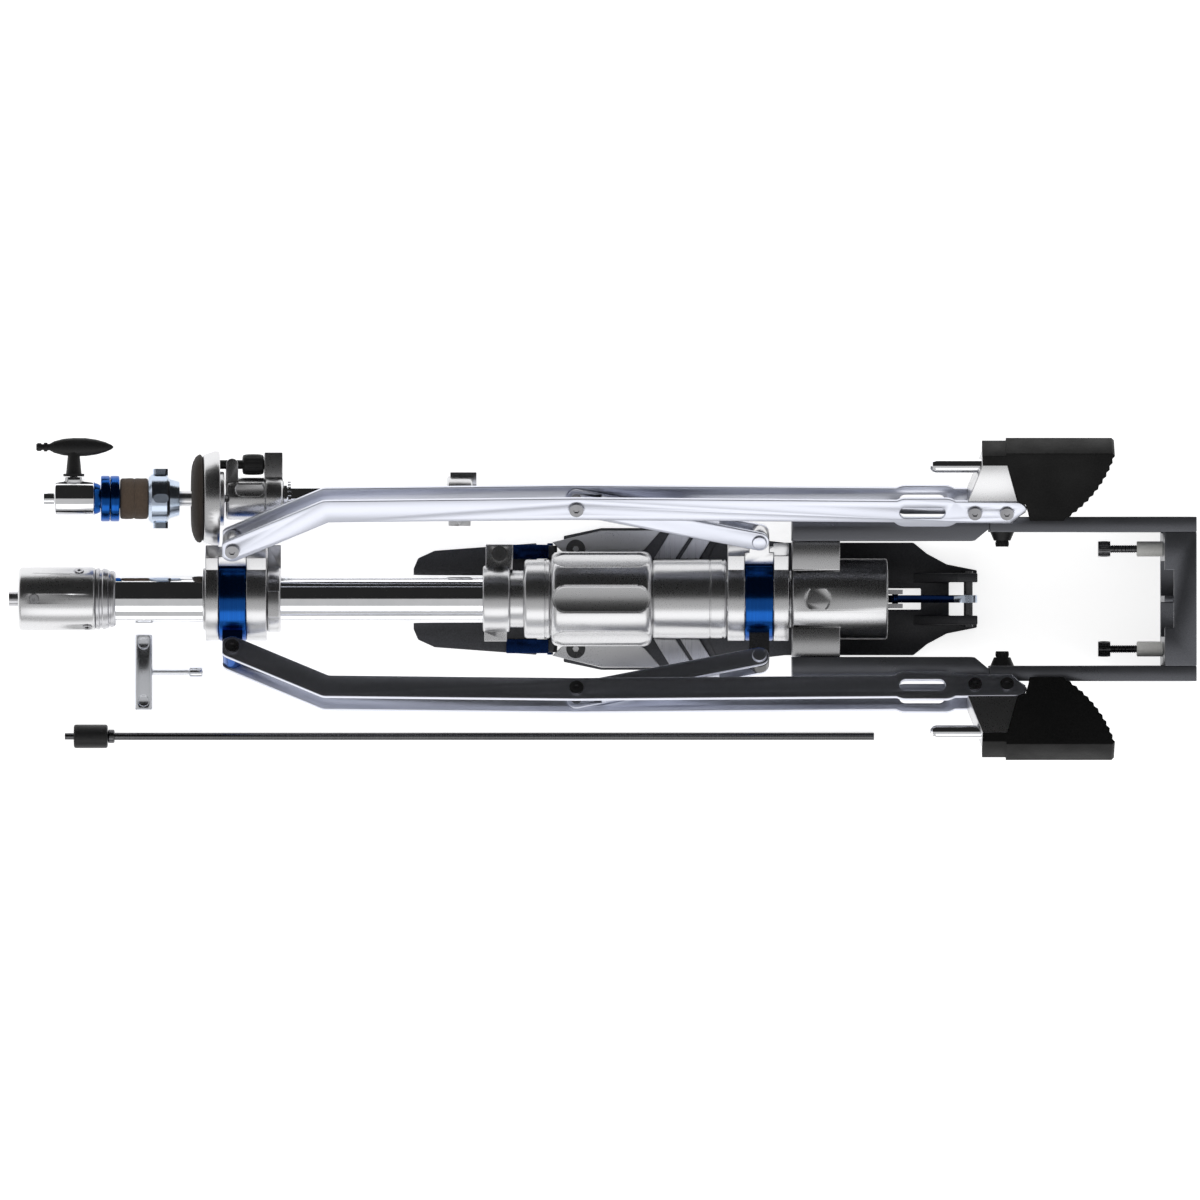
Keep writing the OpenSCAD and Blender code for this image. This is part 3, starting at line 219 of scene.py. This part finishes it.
MATERIALS = {
    "chrome": metal("chrome", (0.80, 0.81, 0.83), (0.90, 0.90, 0.92), (0.03, 0.10), "polished", 0.01),
    "satin_steel": metal(
        "satin_steel", (0.50, 0.50, 0.52), (0.60, 0.60, 0.62), (0.24, 0.32), "turned", 0.012,
    ),
    "satin_aluminium": metal(
        "satin_aluminium", (0.62, 0.62, 0.63), (0.68, 0.68, 0.69), (0.26, 0.31), "blasted", 0.004,
    ),
    "leg_steel": metal("leg_steel", (0.68, 0.70, 0.78), (0.72, 0.74, 0.82), (0.3, 0.38), "drawn", 0.05),
    "screw_steel": metal(
        "screw_steel", (0.16, 0.16, 0.17), (0.30, 0.30, 0.31), (0.22, 0.34), "polished",
    ),
    "dark_steel": metal(
        "dark_steel", (0.07, 0.07, 0.075), (0.15, 0.15, 0.155), (0.2, 0.34), "turned", 0.02,
    ),
    "black_paint": coated(
        "black_paint", (0.012, 0.012, 0.013), (0.03, 0.03, 0.032), (0.24, 0.4), 900, 0.1, coat=0.3,
    ),
    "frame_grey": coated(
        "frame_grey", (0.13, 0.135, 0.15), (0.19, 0.195, 0.215), (0.26, 0.36), 2400, 0.05, 0.85,
    ),
    "board_grey": coated(
        "board_grey", (0.03, 0.031, 0.034), (0.06, 0.061, 0.068), (0.3, 0.44), 1500, 0.12, 0.4,
    ),
    "blue_anodised": metal(
        "blue_anodised", (0.006, 0.05, 0.24), (0.015, 0.12, 0.45), (0.14, 0.26), "turned",
    ),
    "pale_steel": metal("pale_steel", (0.42, 0.50, 0.62), (0.60, 0.67, 0.78), (0.14, 0.28), "polished"),
    "black_plastic": coated(
        "black_plastic", (0.006, 0.006, 0.006), (0.018, 0.018, 0.019), (0.38, 0.52), 1300, 0.2, gloss=0.3,
    ),
    "nylon": coated("nylon", (0.72, 0.72, 0.69), (0.82, 0.82, 0.79), (0.4, 0.5), 800, 0.1),
    "black_rubber": coated(
        "black_rubber", (0.002, 0.002, 0.002), (0.008, 0.008, 0.008), (0.5, 0.66), 1100, 0.3, gloss=0.18,
    ),
    "brown_felt": coated(
        "brown_felt", (0.045, 0.03, 0.02), (0.13, 0.09, 0.062), (0.85, 0.95), 1900, 0.9, sheen=0.2,
    ),
    "key_steel": metal("key_steel", (0.66, 0.68, 0.72), (0.80, 0.81, 0.85), (0.12, 0.26), "blasted"),
}

# Painted shade: a darker copy of the blue anodising, standing in for the darker reflections on the hinge
# blocks and the strap of the link
SHADED_BLUE_ANODISING = metal("blue_anodised_painted_shade", (0.003, 0.010, 0.045), (0.008, 0.026, 0.10), (0.2, 0.34), "polished", 0.01)

# The seat's felt is pressed harder and darker than the two of the clutch
DARK_FELT = coated(
    "dark_felt", (0.016, 0.012, 0.009), (0.045, 0.034, 0.026), (0.8, 0.92), 1900, 0.6, sheen=0.1,
)

SLOT = {part["node"]: part["material_slot"] for part in frame["record"]["subparts"]}

for node, slot in SLOT.items():
    mesh = nodes[node].data
    mesh.materials.clear()
    mesh.materials.append(MATERIALS[slot])


# Pieces. Points nearer to each other than this are made one, in metres: in a piece that is built
# here, and in the mesh of a solid

PIECE_WELD = 1e-6
SOLID_WELD = 2e-6


def piece_from(name, bm, slot, body, replaced=(), smooth=45):
    """Makes a finished piece from a bmesh: welded, outward faces, smooth under an angle."""
    bmesh.ops.remove_doubles(bm, verts=bm.verts, dist=PIECE_WELD)
    bmesh.ops.recalc_face_normals(bm, faces=bm.faces)
    mesh = bpy.data.meshes.new(name)
    bm.to_mesh(mesh)
    bm.free()
    for poly in mesh.polygons:
        poly.use_smooth = True
    mesh.set_sharp_from_angle(angle=math.radians(smooth))
    mesh.materials.append(MATERIALS[slot])
    obj = placed(name, mesh)
    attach(obj, body)
    if replaced:
        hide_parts(*replaced)
    return obj


# The upper section leans on the rim of its seat and on the end of its tube. Sizes in mm.

SEAT = 131.3
FELT = SEAT - 11.3
SEAT_RIM = SEAT + 8
SEAT_RADIUS = 31.4
UPPER_TUBE_RADIUS = 9.55
RIM_TO_TUBE_END = 446
UPPER_Y = 66.3
LEAN = math.atan2(SEAT_RADIUS - UPPER_TUBE_RADIUS, RIM_TO_TUBE_END)
UPPER = (
    Matrix.Translation((
        SEAT_RIM / 1000 - COLUMN / 2, UPPER_Y / 1000, SEAT_RADIUS / 1000 * math.cos(LEAN),
    ))
    @ Matrix.Rotation(LEAN, 4, "Y")
    @ Matrix.Translation((-SEAT_RIM / 1000, 0, 0))
)
ON_COLUMN = Matrix.Translation((-COLUMN / 2, 0, AXIS_H))


def turned(bm, profile, place, around=96, wave=0.0, seed=0.0):
    """A closed profile of [station, radius] in mm, turned round the axis of a section."""
    rows = []
    lowest = min(r for x, r in profile)
    for i, (x, r) in enumerate(profile):
        row = []
        for k in range(around):
            a = 2 * math.pi * k / around
            uneven = wave * (math.sin(5 * a + seed + i) + 0.7 * math.sin(13 * a + 2.1 * i + seed))
            rr = (r + (uneven if r > lowest + 1 else 0)) / 1000
            row.append(bm.verts.new(place @ Vector((x / 1000, rr * math.cos(a), rr * math.sin(a)))))
        rows.append(row)
    for a, b in zip(rows, rows[1:] + rows[:1]):
        for k in range(around):
            j = (k + 1) % around
            bm.faces.new((a[k], a[j], b[j], b[k]))


# Edges that the solids leave sharp are eased, as on a polished or moulded piece. Faces that turn by
# less than this many degrees are joined first.

FLAT_ANGLE = 0.8


def eased(node, width, angle=28, smooth=40, slot=None):
    """A welded copy of a solid with its edges rounded by width in mm, which stands for it."""
    bm = bmesh.new()
    bm.from_mesh(nodes[node].data)
    bmesh.ops.remove_doubles(bm, verts=bm.verts, dist=SOLID_WELD)
    bmesh.ops.dissolve_limit(bm, angle_limit=math.radians(FLAT_ANGLE), verts=bm.verts, edges=bm.edges)
    sharp = [e for e in bm.edges if e.is_manifold and e.calc_face_angle() > math.radians(angle)]
    bmesh.ops.bevel(
        bm, geom=sharp, offset=width / 1000, offset_type="OFFSET", segments=2, profile=0.5,
        affect="EDGES", clamp_overlap=False, harden_normals=False,
    )
    body = nodes[node]["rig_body"]
    return piece_from(node + "_eased", bm, slot or SLOT[node], body, (node,), smooth)


EASED = {
    "top_barrel": 0.5, "stop_ring": 0.4, "base_casting": 0.6,
    "side_plate_left": 0.6, "side_plate_right": 0.6,
    "lower_frame_left": 0.5, "lower_frame_right": 0.5,
    "collar_sleeve": 0.3, "upper_silver_ring": 0.5, "lower_silver_ring": 0.5,
    "leg_left": 0.5, "leg_right": 0.5, "brace_left": 0.4, "brace_right": 0.4,
    "foot_bracket_left": 0.6, "foot_bracket_right": 0.6,
    "rubber_foot_left": 0.4, "rubber_foot_right": 0.4,
    "seat_housing": 0.5, "memory_lock": 0.4, "clutch_body": 0.3,
    "heel_plate": 0.7, "footboard": 0.6, "drum_key": 0.4,
}

for node, width in EASED.items():
    eased(node, width)
eased("tension_dial", 0.9, slot="satin_aluminium")
eased("seat_cup", 0.6, slot="satin_aluminium")
# The hinge blocks take the darker painted-shade copy of the blue anodising
eased("heel_hinge", 0.5).data.materials[0] = SHADED_BLUE_ANODISING


# Station up to which the sleeves stand out of the foot plate
SLEEVES_END = 761.2


def pale_sleeves():
    """The foot plate, with the two sleeves of the anchor screws in white."""
    plate = eased("foot_plate", 0.6)
    plate.data.materials.append(MATERIALS["nylon"])
    edge = at(SLEEVES_END).x
    for poly in plate.data.polygons:
        if poly.center.x < edge:
            poly.material_index = 1


pale_sleeves()

# Helical return spring, hidden in its housing: radii of its coil and its wire, in metres
COIL_RADIUS = 18.975 / 1000
WIRE_RADIUS = 1.6 / 1000
COIL_TURNS = 12


def sweep_wire(bm, points, radius, sides):
    """A round wire through a row of points, closed at both ends."""
    rings = []
    for i, p in enumerate(points):
        ahead = points[min(i + 1, len(points) - 1)] - points[max(i - 1, 0)]
        ahead.normalize()
        side = ahead.cross(Vector((1, 0, 0))).normalized()
        up = ahead.cross(side).normalized()
        ring = []
        for k in range(sides):
            a = 2 * math.pi * k / sides
            ring.append(bm.verts.new(p + radius * (math.cos(a) * side + math.sin(a) * up)))
        rings.append(ring)
    for a, b in zip(rings, rings[1:]):
        for k in range(sides):
            j = (k + 1) % sides
            bm.faces.new((a[k], a[j], b[j], b[k]))
    bm.faces.new(rings[0])
    bm.faces.new(rings[-1][::-1])


def return_spring():
    low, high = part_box("return_spring")
    steps = 20 * COIL_TURNS
    start, end = low.x + WIRE_RADIUS, high.x - WIRE_RADIUS
    points = []
    for i in range(steps + 1):
        t = i / steps
        a = 2 * math.pi * COIL_TURNS * t
        across, up = COIL_RADIUS * math.cos(a), COIL_RADIUS * math.sin(a)
        points.append(Vector((start + (end - start) * t, across, AXIS_H + up)))
    bm = bmesh.new()
    sweep_wire(bm, points, WIRE_RADIUS, 12)
    wire_piece = piece_from("return_spring_wire", bm, "satin_steel", "column", ("return_spring",), 60)
    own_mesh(wire_piece)


return_spring()

# Felts: pressed discs with a soft, slightly uneven outline


# How uneven the felts are, in mm
FELT_WAVE = 0.09


def felt(name, node, body, profile, seed):
    bm = bmesh.new()
    turned(bm, profile, UPPER, 96, FELT_WAVE, seed)
    disc = piece_from(name, bm, "brown_felt", body, (node,), 60)
    return disc


def from_felt(profile, start=0.0):
    return [(FELT + start + x, r) for x, r in profile]


felt("seat_felt_pad", "seat_felt", "seat", from_felt([
    (0, 5.3), (0, 18.4), (0.4, 21.5), (1.3, 24.6), (2.6, 27.2), (4.0, 28.6), (5.4, 29.2), (6.5, 28.9),
    (7.2, 27.6), (7.28, 26.4), (7.28, 5.3),
]), 0.4).data.materials[0] = DARK_FELT
felt("clutch_felt_sleeve", "clutch_felts", "clutch", from_felt([
    (0.01, 6.6), (0.01, 11.8), (0.3, 12.8), (1.2, 13.4), (4.1, 13.5), (7.4, 13.5), (8.8, 13.3),
    (9.25, 12.9), (9.7, 13.3), (11.1, 13.5), (14.4, 13.5), (17.3, 13.4), (18.2, 12.8), (18.48, 11.8),
    (18.48, 6.6),
], -47.0), 1.7)

# Turned pieces of the column, with the steps and lines that show on them


def lathe(name, nodes_for, slot, body, profile, place=ON_COLUMN, around=128, smooth=35):
    bm = bmesh.new()
    turned(bm, profile, place, around)
    return piece_from(name, bm, slot, body, nodes_for, smooth)


lathe("stepped_collar", ("barrel_collar",), "satin_steel", "column", [
    (57.41, 15.95), (57.41, 19.6), (57.8, 20.2), (59.6, 20.5), (60.0, 20.2), (60.3, 19.3), (61.6, 19.3),
    (61.9, 20.0), (62.4, 20.3), (65.6, 19.4), (66.0, 18.8), (66.4, 18.4), (67.2, 18.4), (67.5, 18.9),
    (69.3, 18.4), (70.2, 17.8), (70.55, 17.0), (70.55, 15.95),
])
lathe("cap_ring_turned", ("cap_ring",), "satin_aluminium", "column", [
    (330.62, 15.95), (330.62, 18.4), (331.0, 18.9), (339.4, 18.9), (339.8, 19.3), (339.8, 23.6),
    (340.1, 24.8), (340.9, 25.7), (342.0, 26.0), (353.2, 26.0), (353.6, 25.5), (354.2, 25.5), (354.6, 26.0),
    (356.2, 25.9), (357.0, 25.3), (357.3, 24.4), (357.31, 23.99), (360.55, 23.99), (360.55, 22.02),
    (355.65, 22.02), (355.6, 15.95),
])
lathe("spring_housing_turned", ("spring_housing",), "satin_aluminium", "column", [
    (360.62, 22.02), (360.62, 23.99), (424.6, 23.99), (424.62, 24.4), (424.9, 25.3), (425.8, 25.9),
    (427.2, 26.0), (462.0, 26.0), (462.4, 25.6), (462.9, 25.6), (463.3, 26.0), (470.6, 26.0),
    (470.7, 25.25), (471.7, 25.25), (471.8, 26.0), (472.9, 25.7), (473.6, 24.9), (473.78, 23.9),
    (473.78, 15.95), (465.85, 15.95), (465.8, 22.02),
])


# Ribs, knurls and threads, repeated by small node trees


def node_tree(name):
    tree = bpy.data.node_groups.new(name, "GeometryNodeTree")
    tree.interface.new_socket("Geometry", in_out="INPUT", socket_type="NodeSocketGeometry")
    tree.interface.new_socket("Geometry", in_out="OUTPUT", socket_type="NodeSocketGeometry")
    return tree, tree.nodes.new("NodeGroupInput"), tree.nodes.new("NodeGroupOutput")


def add_inputs(tree, values):
    """Gives a node tree its named values; a whole number is a count."""
    for label, value in values.items():
        kind = "NodeSocketInt" if isinstance(value, int) else "NodeSocketFloat"
        tree.interface.new_socket(label, in_out="INPUT", socket_type=kind).default_value = value


def finished(name, tree, place, slot, body, smooth=40):
    """Runs a node tree on an empty mesh and keeps its result as a plain piece."""
    seed = placed(name + "_seed", bpy.data.meshes.new(name + "_seed"))
    seed.modifiers.new("repeat", "NODES").node_group = tree
    graph = bpy.context.evaluated_depsgraph_get()
    mesh = bpy.data.meshes.new_from_object(seed.evaluated_get(graph))
    seed.modifiers.clear()
    bpy.data.objects.remove(seed)
    bm = bmesh.new()
    bm.from_mesh(mesh)
    bpy.data.meshes.remove(mesh)
    bm.transform(place)
    return piece_from(name, bm, slot, body, (), smooth)


def ribs(name, slot, body, count, radius, rib_radius, length, station, place):
    """Round ribs that lie along the axis, set in a circle round it. Sizes in mm."""
    tree, given, out = node_tree(name)
    add_inputs(tree, {
        "Count": count, "Circle Radius": radius / 1000, "Rib Radius": rib_radius / 1000,
        "Rib Length": length / 1000, "Station": station / 1000,
    })
    circle = tree.nodes.new("GeometryNodeMeshCircle")
    rib = tree.nodes.new("GeometryNodeMeshUVSphere")
    rib.inputs["Segments"].default_value = 10
    rib.inputs["Rings"].default_value = 6
    rib.inputs["Radius"].default_value = 1.0
    size = tree.nodes.new("ShaderNodeCombineXYZ")
    half = tree.nodes.new("ShaderNodeMath")
    half.operation = "MULTIPLY"
    half.inputs[1].default_value = 0.5
    put = tree.nodes.new("GeometryNodeInstanceOnPoints")
    turn = tree.nodes.new("GeometryNodeTransform")
    turn.inputs["Rotation"].default_value = (0, math.pi / 2, 0)
    shift = tree.nodes.new("ShaderNodeCombineXYZ")
    real = tree.nodes.new("GeometryNodeRealizeInstances")
    paint = tree.nodes.new("GeometryNodeSetMaterial")
    paint.inputs["Material"].default_value = MATERIALS[slot]
    link = tree.links.new
    link(given.outputs["Count"], circle.inputs["Vertices"])
    link(given.outputs["Circle Radius"], circle.inputs["Radius"])
    link(given.outputs["Rib Length"], half.inputs[0])
    link(given.outputs["Rib Radius"], size.inputs["X"])
    link(given.outputs["Rib Radius"], size.inputs["Y"])
    link(half.outputs[0], size.inputs["Z"])
    link(circle.outputs["Mesh"], put.inputs["Points"])
    link(rib.outputs["Mesh"], put.inputs["Instance"])
    link(size.outputs[0], put.inputs["Scale"])
    link(put.outputs["Instances"], real.inputs["Geometry"])
    link(real.outputs["Geometry"], turn.inputs["Geometry"])
    link(given.outputs["Station"], shift.inputs["X"])
    link(shift.outputs[0], turn.inputs["Translation"])
    link(turn.outputs["Geometry"], paint.inputs["Geometry"])
    link(paint.outputs["Geometry"], out.inputs["Geometry"])
    return finished(name, tree, place, slot, body)


def thread(name, slot, body, start, end, pitch, radius, place, ridge=0.35):
    """A rolled thread: one ridge along a helix. Sizes in mm."""
    tree, given, out = node_tree(name)
    add_inputs(tree, {
        "Turns": (end - start) / pitch, "Radius": radius / 1000,
        "Length": (end - start) / 1000, "Ridge": ridge / 1000,
    })
    helix = tree.nodes.new("GeometryNodeCurveSpiral")
    helix.inputs["Resolution"].default_value = 20
    section = tree.nodes.new("GeometryNodeCurvePrimitiveCircle")
    section.inputs["Resolution"].default_value = 5
    tube = tree.nodes.new("GeometryNodeCurveToMesh")
    tube.inputs["Fill Caps"].default_value = True
    turn = tree.nodes.new("GeometryNodeTransform")
    turn.inputs["Rotation"].default_value = (0, math.pi / 2, 0)
    turn.inputs["Translation"].default_value = (start / 1000, 0, 0)
    real = tree.nodes.new("GeometryNodeRealizeInstances")
    paint = tree.nodes.new("GeometryNodeSetMaterial")
    paint.inputs["Material"].default_value = MATERIALS[slot]
    link = tree.links.new
    link(given.outputs["Turns"], helix.inputs["Rotations"])
    link(given.outputs["Radius"], helix.inputs["Start Radius"])
    link(given.outputs["Radius"], helix.inputs["End Radius"])
    link(given.outputs["Length"], helix.inputs["Height"])
    link(given.outputs["Ridge"], section.inputs["Radius"])
    link(helix.outputs["Curve"], tube.inputs["Curve"])
    link(section.outputs["Curve"], tube.inputs["Profile Curve"])
    link(tube.outputs["Mesh"], turn.inputs["Geometry"])
    link(turn.outputs["Geometry"], real.inputs["Geometry"])
    link(real.outputs["Geometry"], paint.inputs["Geometry"])
    link(paint.outputs["Geometry"], out.inputs["Geometry"])
    return finished(name, tree, place, slot, body, 60)


# How far the anchor screws and the hand nuts lie from the column's axis, and the station of the
# hand nuts, in metres

ANCHOR_Y = 0.033
HAND_NUT_Y = 0.0365
HAND_NUT_STATION = 0.6555

for side, word in ((1, "left"), (-1, "right")):
    beside = ON_COLUMN @ Matrix.Translation((0, side * ANCHOR_Y, 0))
    body = nodes["anchor_spur_" + word]["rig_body"]
    thread(
        f"anchor_{word}_thread", "dark_steel", body,
        start=727.5, end=743.5, pitch=1.25, radius=2.3, place=beside,
    )
    ribs(
        f"anchor_{word}_knurl", "dark_steel", body,
        count=26, radius=4.9, rib_radius=0.32, length=7.2, station=722.8, place=beside,
    )
    across = (
        ON_COLUMN
        @ Matrix.Translation((HAND_NUT_STATION, side * HAND_NUT_Y, 0))
        @ Matrix.Rotation(side * math.pi / 2, 4, "Z")
    )
    ribs(
        f"hand_nut_{word}_ribs", "black_plastic", "column",
        count=9, radius=3.9, rib_radius=0.7, length=4.2, station=0.0, place=across,
    )
ribs(
    "tilt_knob_ribs", "black_plastic", "tilt_knob", count=20, radius=6.5, rib_radius=0.42,
    length=11.5, station=SEAT + 29.6, place=UPPER @ Matrix.Translation((0, 0.0225, 0)),
)
thread(
    "rod_tip_thread", "satin_steel", "pull_rod",
    start=0.6, end=5.9, pitch=1.0, radius=4.75, place=ON_COLUMN, ridge=0.24,
)
thread(
    "clutch_stub_thread", "satin_steel", "clutch",
    start=SEAT - 108.5, end=SEAT - 102.2, pitch=1.0, radius=4.4, place=UPPER, ridge=0.22,
)


# Footboard: silver panels and two slanted bars on each half of the tread, all falling to the edge.
# In mm: heights of the tread, of the plates' lower faces and of their edge over the tread, and how
# far from the middle they are lowest

TREAD = 10.4
PLATE_FOOT = 10.2
PLATE_EDGE = 0.35
TREAD_HALF = 46
PANEL = [(358.5, 37.6), (364, 32), (373, 27.8), (384, 25), (408, 25), (420, 33), (430, 44.8), (427, 45.4),
         (391, 45.4)]
BARS = [
    [(425.5, 26.5), (440, 26.5), (450.6, 42.6), (436.5, 44.2)],
    [(443, 26.5), (455.6, 26.5), (464.6, 41), (453, 42.4)],
]


def inlay(name, outline, side, slot, drop):
    """A plate on the tread, higher towards the middle, with an eased upper edge."""
    bm = bmesh.new()
    cx = sum(p[0] for p in outline) / len(outline)
    cy = sum(p[1] for p in outline) / len(outline)
    rows = []
    for level, inset in ((0, 0.0), (0.75, 0.0), (1, 0.5)):
        row = []
        for x, y in outline:
            d = math.hypot(x - cx, y - cy)
            px, py = x + (cx - x) * inset / d, y + (cy - y) * inset / d
            top = TREAD + PLATE_EDGE + drop * (TREAD_HALF - py)
            height = PLATE_FOOT + level * (top - PLATE_FOOT)
            row.append(bm.verts.new(at(px, side * py, height - AXIS_H * 1000)))
        rows.append(row)
    count = len(outline)
    for a, b in zip(rows, rows[1:]):
        for k in range(count):
            j = (k + 1) % count
            bm.faces.new((a[k], a[j], b[j], b[k]))
    bm.faces.new(rows[0])
    bm.faces.new(rows[-1])
    piece_from(name, bm, slot, "footboard", (), 20)


for side, word in ((1, "left"), (-1, "right")):
    inlay(f"tread_panel_{word}", PANEL, side, "satin_aluminium", 0.06)
    for k, outline in enumerate(BARS):
        inlay(f"tread_bar_{word}_{k}", outline, side, "satin_steel", 0.1)


# Direct link: the strap in the darker painted-shade copy of the blue anodising, and its lit end painted as
# a pale highlight, which starts at this station

PAINTED_HIGHLIGHT_END = 624


def direct_link():
    bm = bmesh.new()
    bm.from_mesh(nodes["direct_link"].data)
    bmesh.ops.remove_doubles(bm, verts=bm.verts, dist=SOLID_WELD)
    cut = at(PAINTED_HIGHLIGHT_END).x
    bmesh.ops.bisect_plane(
        bm, geom=bm.verts[:] + bm.edges[:] + bm.faces[:], plane_co=(cut, 0, 0), plane_no=(1, 0, 0),
    )
    body = nodes["direct_link"]["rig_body"]
    strap = piece_from("direct_link_strap", bm, "blue_anodised", body, ("direct_link",), 35)
    # Painted shade on the strap, and a painted highlight in pale steel on its lit end
    strap.data.materials[0] = SHADED_BLUE_ANODISING
    strap.data.materials.append(MATERIALS["pale_steel"])
    for poly in strap.data.polygons:
        poly.material_index = 1 if poly.center.x > cut else 0


direct_link()

# Stage: white floor, and a dark card that only the metal reflects

FLOOR_TONE = 0.86
FLOOR_GLOW = 0.75
CARD_GLOW = 0.02
WORLD_LIGHT = 0.55


def sheet(name, mat_name, corners):
    """A flat sheet of the stage, with a material that is still empty."""
    mesh = bpy.data.meshes.new(name)
    mesh.from_pydata(corners, [], [(0, 1, 2, 3)])
    obj = placed(name, mesh)
    mat, tree, out = empty_material(mat_name)
    mesh.materials.append(mat)
    return obj, tree, out


def dark_card():
    corners = [(-3, 0.02, 2.6), (3, 0.02, 2.6), (3, 3.2, 0.02), (-3, 3.2, 0.02)]
    obj, tree, out = sheet("dark_card", "dark_card", corners)
    glow = tree.nodes.new("ShaderNodeEmission")
    glow.inputs["Strength"].default_value = CARD_GLOW
    tree.links.new(glow.outputs[0], out.inputs[0])
    obj.visible_camera = False
    obj.visible_diffuse = False
    obj.visible_shadow = False


def floor():
    obj, tree, out = sheet("floor", "white_floor", [(-6, -6, 0), (6, -6, 0), (6, 6, 0), (-6, 6, 0)])
    paint = tree.nodes.new("ShaderNodeBsdfDiffuse")
    paint.inputs["Color"].default_value = (FLOOR_TONE, FLOOR_TONE, FLOOR_TONE, 1)
    glow = tree.nodes.new("ShaderNodeEmission")
    both = tree.nodes.new("ShaderNodeAddShader")
    path = tree.nodes.new("ShaderNodeLightPath")
    seen = tree.nodes.new("ShaderNodeMath")
    seen.operation = "MAXIMUM"
    tree.links.new(path.outputs["Is Camera Ray"], seen.inputs[0])
    tree.links.new(path.outputs["Is Glossy Ray"], seen.inputs[1])
    level = tree.nodes.new("ShaderNodeMath")
    level.operation = "MULTIPLY"
    level.inputs[1].default_value = FLOOR_GLOW
    tree.links.new(seen.outputs[0], level.inputs[0])
    tree.links.new(level.outputs[0], glow.inputs["Strength"])
    tree.links.new(paint.outputs[0], both.inputs[0])
    tree.links.new(glow.outputs[0], both.inputs[1])
    tree.links.new(both.outputs[0], out.inputs[0])


floor()
dark_card()


def area_light(name, place, target, size, power, mirrored=True):
    data = bpy.data.lights.new(name, "AREA")
    data.shape = "RECTANGLE"
    data.size, data.size_y = size
    data.energy = power
    obj = placed(name, data)
    obj.location = place
    obj.rotation_euler = (Vector(target) - Vector(place)).to_track_quat("-Z", "Y").to_euler()
    obj.visible_glossy = mirrored


MIDDLE = (0, 0, 0)
area_light("front_softbox", (0, -2.0, 1.8), MIDDLE, size=(3.2, 1.4), power=15)
area_light("back_fill", (0, 2.2, 2.0), MIDDLE, size=(3.2, 1.0), power=12, mirrored=False)

world = bpy.data.worlds.new("studio")
bpy.context.scene.world = world
world.use_nodes = True
sky = world.node_tree.nodes["Background"]
sky.inputs["Color"].default_value = (1, 1, 1, 1)
sky.inputs["Strength"].default_value = WORLD_LIGHT
